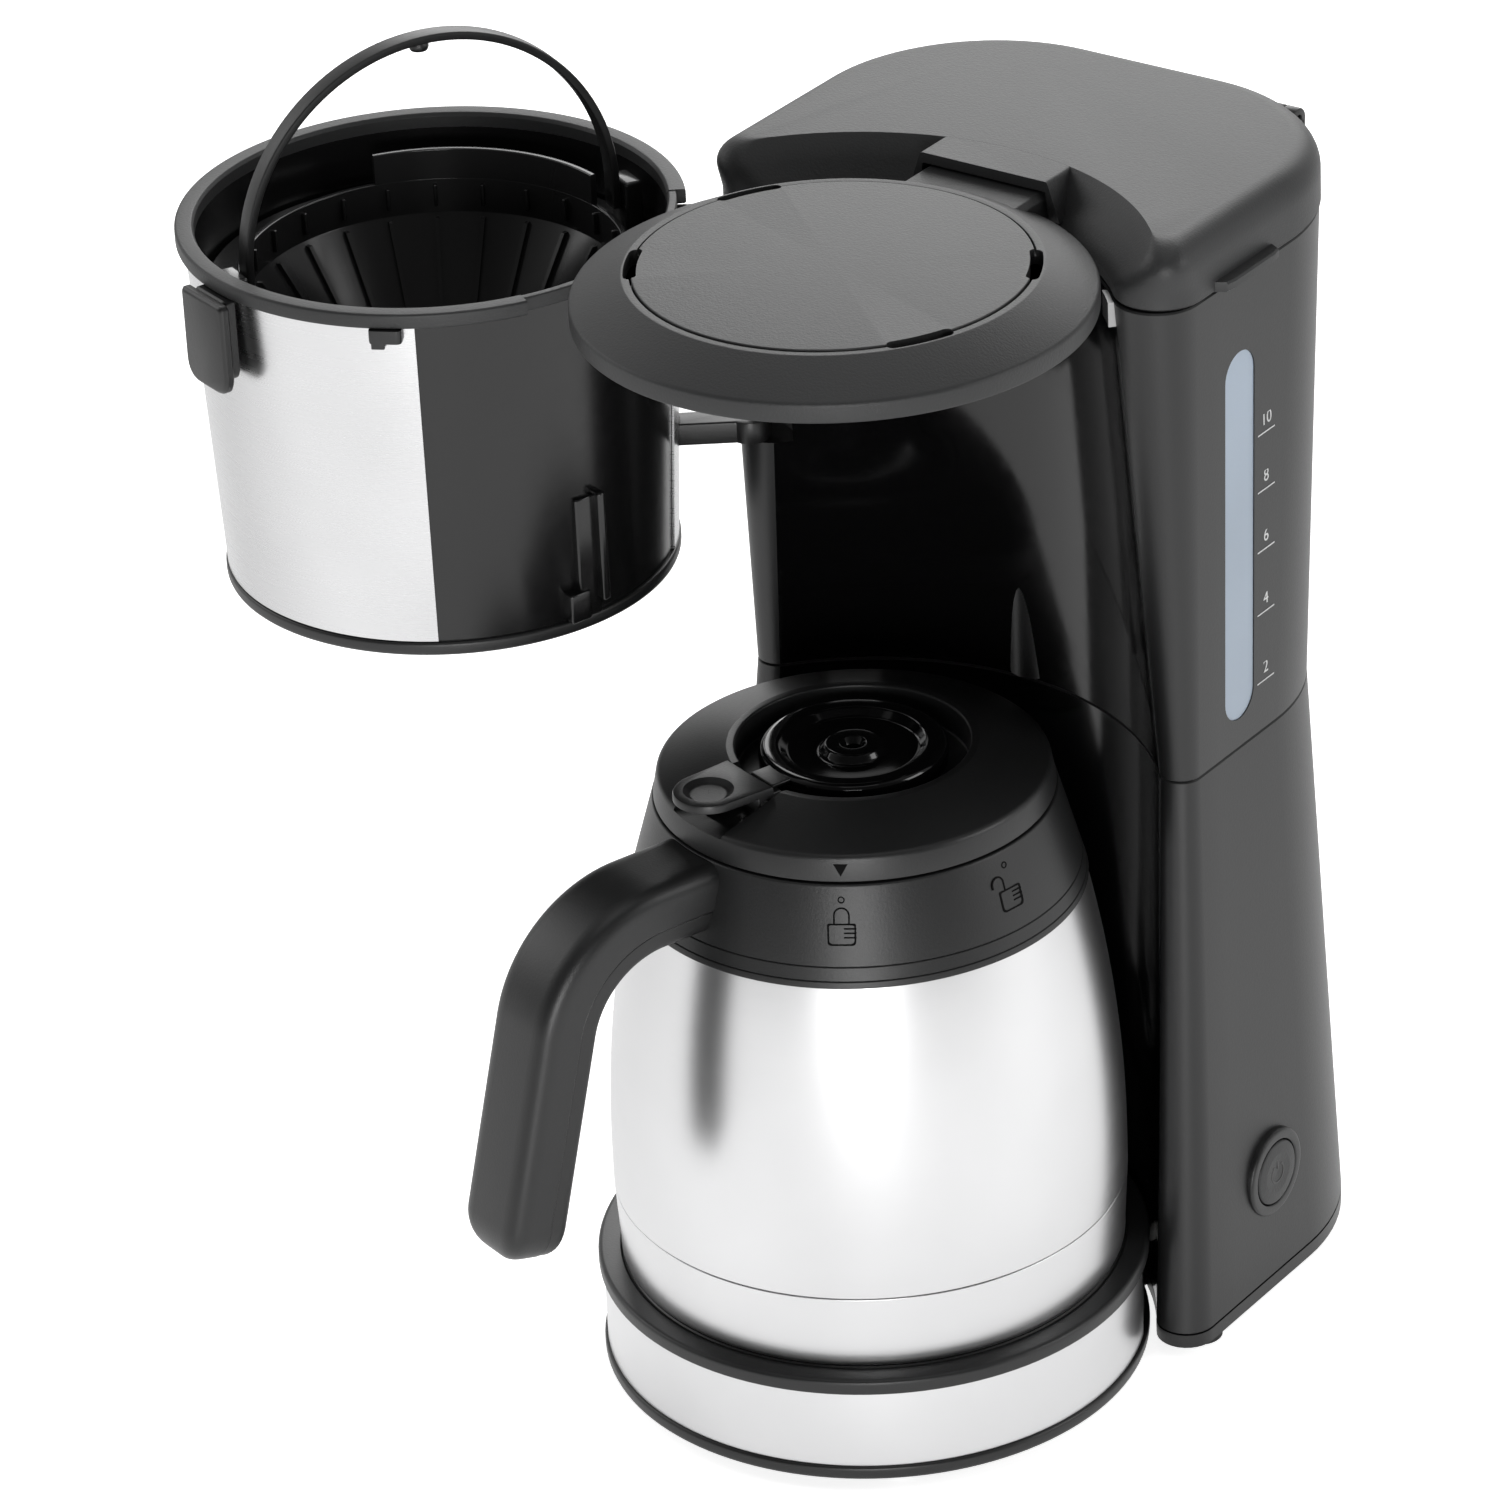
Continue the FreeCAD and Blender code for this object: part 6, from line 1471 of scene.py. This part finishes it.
@dataclass
class CarafeLid:
    """Carafe lid with its well, pour puck, thumb lever and the pointer on its skirt."""

    handle: float = 252.0
    low: float = 177.3
    skirt_top: float = 184.3
    top: float = 190.5
    well: float = 31.6
    well_floor: float = 182.4
    skirt_low_radius: float = 54.3
    skirt_top_radius: float = 53.0
    pointer_turn: float = -59.0
    pointer_height: float = 180.6
    pointer_lean: float = 0.18

    def build(self) -> None:
        """Model and dress the carafe lid."""
        cap = lathe("cap", [
            (self.skirt_low_radius, self.low, 0.4), (self.skirt_top_radius, self.skirt_top, 2.2),
            (34.0, self.top, 1.0), (self.well, self.top, 0.7), (self.well, self.well_floor, 0.8),
            (8.0, self.well_floor), (8.0, 180.2), (33.8, 180.2), (33.8, 188.3), (50.8, 182.1),
            (52.1, self.low)], steps=192)
        boolean(cap, slab("lever_slot", (28.1, -10.6, 183.4), (53.5, 10.6, 194.0), 0.0, self.handle))
        pieces = [cap]
        for low, high in both_sides(10.7, 13.0):
            pieces.append(slab("cheek", (32.0, low, 181.0), (40.6, high, 187.6), 0.2, self.handle))
        dress(join(pieces, "carafe_cap"), SATIN, "carafe_lid", ["lid_shell"])
        self.puck()
        self.lever()
        self.pointer()

    def puck(self) -> None:
        """Pour puck with its rounded rim, dish and hub, and the ear that the lever lifts."""
        body = lathe("puck", [
            (2.2, 168.0), (4.0, 168.0), (4.0, 184.2), (25.5, 184.2, 0.5), (25.5, 190.2, 2.4),
            (20.0, 190.2, 2.0), (17.6, 188.0, 2.0), (9.2, 187.4, 1.8), (7.6, 189.9, 1.2),
            (3.6, 189.9, 0.8), (2.2, 188.2, 0.3)], steps=160)
        dress(body, GLOSS, "puck", ["pour_puck"])
        ear = slab("puck_ear", (22.0, -5.0, 188.45), (30.6, 5.0, 189.6), 0.5, self.handle)
        dress(ear, DARK, "puck")

    def lever(self) -> None:
        """Thumb lever: a thin rounded plate with a round dimple, on its hub and tip."""
        ring: list[Point] = [(34.0, -10.2), (48.0, -9.6)]
        ring += arc_points((47.8, 0.0), 9.6, -QUARTER, QUARTER, 33)[1:-1]
        ring += [(48.0, 9.6), (34.0, 10.2)]
        middle = Vector((45.0, 0.0))
        rows = [(190.0, 0.95), (190.3, 1.0), (191.9, 1.0), (192.4, 0.98), (192.6, 0.94)]
        loops = []
        for z, grow in rows:
            loops.append([Vector((middle.x + (x - middle.x) * grow, y * grow, z)) for x, y in ring])
        pad = loft("lever_pad", loops)
        dish = lathe("lever_dish", [(AXIS, 191.3), (5.0, 191.3, 1.6), (7.0, 192.7), (7.0, 195.0),
                                    (AXIS, 195.0)],
                     (47.8, 0.0), 64)
        boolean(pad, dish)
        hub = slab("lever_hub", (34.2, -9.4, 185.7), (38.4, 9.4, 190.6), 0.4)
        tip = slab("lever_tip", (28.4, -6.0, 185.6), (36.4, 6.0, 188.0), 0.4)
        piece = join([pad, hub, tip], "lever_body")
        piece.data.transform(turned(self.handle))
        dress(piece, SATIN, "lever", ["thumb_lever"])

    def pointer(self) -> None:
        """Triangle on the skirt that points at the lock marks, near-black as painted shade like them."""
        ring = [(-1.9, 1.7), (1.9, 1.7), (0.0, -1.7)]
        piece = prism("pointer", ring, "z", (-0.2, 0.1))
        height, turn = self.pointer_height, math.radians(self.pointer_turn)
        share = (height - self.low) / (self.skirt_top - self.low)
        radius = self.skirt_low_radius + (self.skirt_top_radius - self.skirt_low_radius) * share
        spot = (radius * math.cos(turn), radius * math.sin(turn), height)
        piece.data.transform(facing(spot, turn + QUARTER, QUARTER - self.pointer_lean))
        dress(piece, ENGRAVING_SHADE, "carafe_lid")


CAD_FINISHES: dict[Finish, tuple[str, ...]] = {
    RUBBER: ("foot_ring", "tower_feet"),
    PIN: ("base_screws", "catch_clip", "lid_hinge_pins", "heater_brackets", "thermal_fuse",
          "lever_pin"),
    DARK: ("base_drum", "cord_gland", "check_valve", "drip_valve", "liner_spacer", "lid_plug"),
    BROWN: ("power_switch", "thermostat"),
    GLOSS: ("shower_plate",),
    SILICONE: ("riser_tube", "inlet_hose", "drip_seal", "lid_gasket", "puck_seal"),
    ALLOY: ("heater",),
    LINER: ("carafe_liner",),
}


@dataclass
class Studio:
    """Camera at the photograph's angle, soft lamps and a white floor."""

    place: tuple[float, float, float] = (0.9965, -1.3715, 1.1001)
    right: tuple[float, float, float] = (0.8125, 0.5813, -0.0439)
    up: tuple[float, float, float] = (-0.2443, 0.4079, 0.8797)
    lens: float = 172.54
    sensor: float = 36.0

    def build(self) -> None:
        """Set up camera, lamps, floor, world and colour."""
        self.camera()
        self.floor()
        self.lamp("lamp_back", (-1.0, 2.1, 1.5), (0, 0.05, 0.3), 1.9, 32.0)
        self.lamp("lamp_right", (2.2, 0.9, 1.1), (0, 0.05, 0.2), 1.0, 14.0)
        self.lamp("lamp_left", (-2.0, -0.5, 1.2), (0, 0, 0.15), 1.1, 7.0)
        self.lamp("lamp_top", (0.3, -0.3, 2.4), (0, 0, 0.1), 1.2, 4.5)
        self.lamp("lamp_front", (1.3, -1.9, 0.4), (0, 0, 0.15), 0.8, 21.0)
        self.world()
        bpy.context.scene.view_settings.view_transform = "Standard"

    def camera(self) -> None:
        """Camera solved from the photograph, for a square picture."""
        data = bpy.data.cameras.new("photo_camera")
        data.lens = self.lens
        data.sensor_width = self.sensor
        data.clip_end = 20.0
        obj = bpy.data.objects.new("photo_camera", data)
        bpy.context.scene.collection.objects.link(obj)
        x = Vector(self.right).normalized()
        z = x.cross(Vector(self.up)).normalized()
        y = z.cross(x)
        turn = Matrix((x, y, z)).transposed().to_4x4()
        obj.matrix_world = Matrix.Translation(self.place) @ turn
        bpy.context.scene.camera = obj

    def lamp(self, name: str, place: Sequence[float], target: Sequence[float], size: float,
             power: float) -> None:
        """Square area lamp aimed at a point.

        Args:
            name: Name of the lamp.
            place: Where it stands.
            target: What it looks at.
            size: Its side.
            power: Its power in watts.
        """
        data = bpy.data.lights.new(name, "AREA")
        data.size = size
        data.energy = power
        obj = bpy.data.objects.new(name, data)
        bpy.context.scene.collection.objects.link(obj)
        obj.location = place
        obj.rotation_euler = (Vector(target) - Vector(place)).to_track_quat("-Z", "Y").to_euler()

    def floor(self) -> None:
        """White floor that keeps the object's soft shadow."""
        start_fresh()
        bpy.ops.mesh.primitive_plane_add(size=12, location=(0, 0, 0))
        plane = bpy.context.object
        plane.name = "floor"
        mat = bpy.data.materials.new("floor_white")
        mat.use_nodes = True
        tree = mat.node_tree
        shader = tree.nodes["Principled BSDF"]
        shader.inputs["Base Color"].default_value = (0.9, 0.9, 0.9, 1.0)
        shader.inputs["Roughness"].default_value = 0.7
        shader.inputs["Specular IOR Level"].default_value = 0.2
        shader.inputs["Emission Color"].default_value = (1, 1, 1, 1)
        parts = {0: seen_directly(tree), 1: self.sweep(tree)}
        glow = add_node(tree, "Math", {}, parts, "MULTIPLY")
        tree.links.new(glow.outputs["Value"], shader.inputs["Emission Strength"])
        plane.data.materials.append(mat)

    def sweep(self, tree: Tree) -> Socket:
        """Floor glow that is even to the camera and falls off behind the object in its mirror images.

        Args:
            tree: The floor's nodes.

        Returns:
            The glow's strength.
        """
        fall = {"From Min": -0.15, "From Max": 0.35, "To Min": 0.72, "To Max": 0.24}
        return self.graded(tree, "Object", (-0.6, 0.8, 0.0), fall, 0.8)

    def graded(self, tree: Tree, coords: str, direction: Sequence[float], fall: dict[str, float],
               direct: float) -> Socket:
        """Strength that changes along a direction, with one even value to the camera.

        Args:
            tree: The nodes to add to.
            coords: Kind of coordinates.
            direction: Direction of the change.
            fall: Limits of the change and its values there.
            direct: Value that the camera sees.

        Returns:
            The strength.
        """
        spots = add_node(tree, "TexCoord", {}, {})
        along = add_node(tree, "VectorMath", {1: direction}, {0: spots.outputs[coords]}, "DOT_PRODUCT")
        change = add_node(tree, "MapRange", fall, {"Value": along.outputs["Value"]})
        path = add_node(tree, "LightPath", {}, {})
        sources = {"Factor": path.outputs["Is Camera Ray"], "A": change.outputs["Result"]}
        return add_node(tree, "Mix", {"B": direct}, sources).outputs["Result"]

    def world(self) -> None:
        """White to the camera, and a room that is brighter behind the object to everything else."""
        world = bpy.data.worlds.new("studio")
        world.use_nodes = True
        tree = world.node_tree
        back = tree.nodes["Background"]
        back.inputs["Color"].default_value = (1, 1, 1, 1)
        fall = {"From Min": -0.6, "From Max": 0.7, "To Min": 0.08, "To Max": 0.75}
        room = self.graded(tree, "Generated", (-0.55, 0.8, -0.15), fall, 1.0)
        tree.links.new(room, back.inputs["Strength"])
        bpy.context.scene.world = world


def seen_directly(tree: Tree) -> Socket:
    """Whether a ray comes from the camera, a mirror image or through a clear piece.

    Args:
        tree: The nodes to add to.

    Returns:
        A socket that is 1 for such rays and 0 for others.
    """
    path = add_node(tree, "LightPath", {}, {})
    socket = path.outputs["Is Camera Ray"]
    for name in ("Is Glossy Ray", "Is Transmission Ray"):
        more = add_node(tree, "Math", {}, {0: socket, 1: path.outputs[name]}, "MAXIMUM")
        socket = more.outputs["Value"]
    return socket


def main() -> None:
    """Build every sub-assembly, dress the kept CAD nodes and set up the studio."""
    logging.basicConfig(level=logging.INFO, format="%(name)s: %(message)s")
    for part in (Base(), Tower(), TankLid(), BrewHead(), Filter(), Carafe(), CarafeLid()):
        part.build()
    for finish, names in CAD_FINISHES.items():
        for name in names:
            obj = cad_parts[name]
            obj.data.materials.clear()
            obj.data.materials.append(finish.material())
    Studio().build()
    start_fresh()


if __name__ == "__main__":
    main()
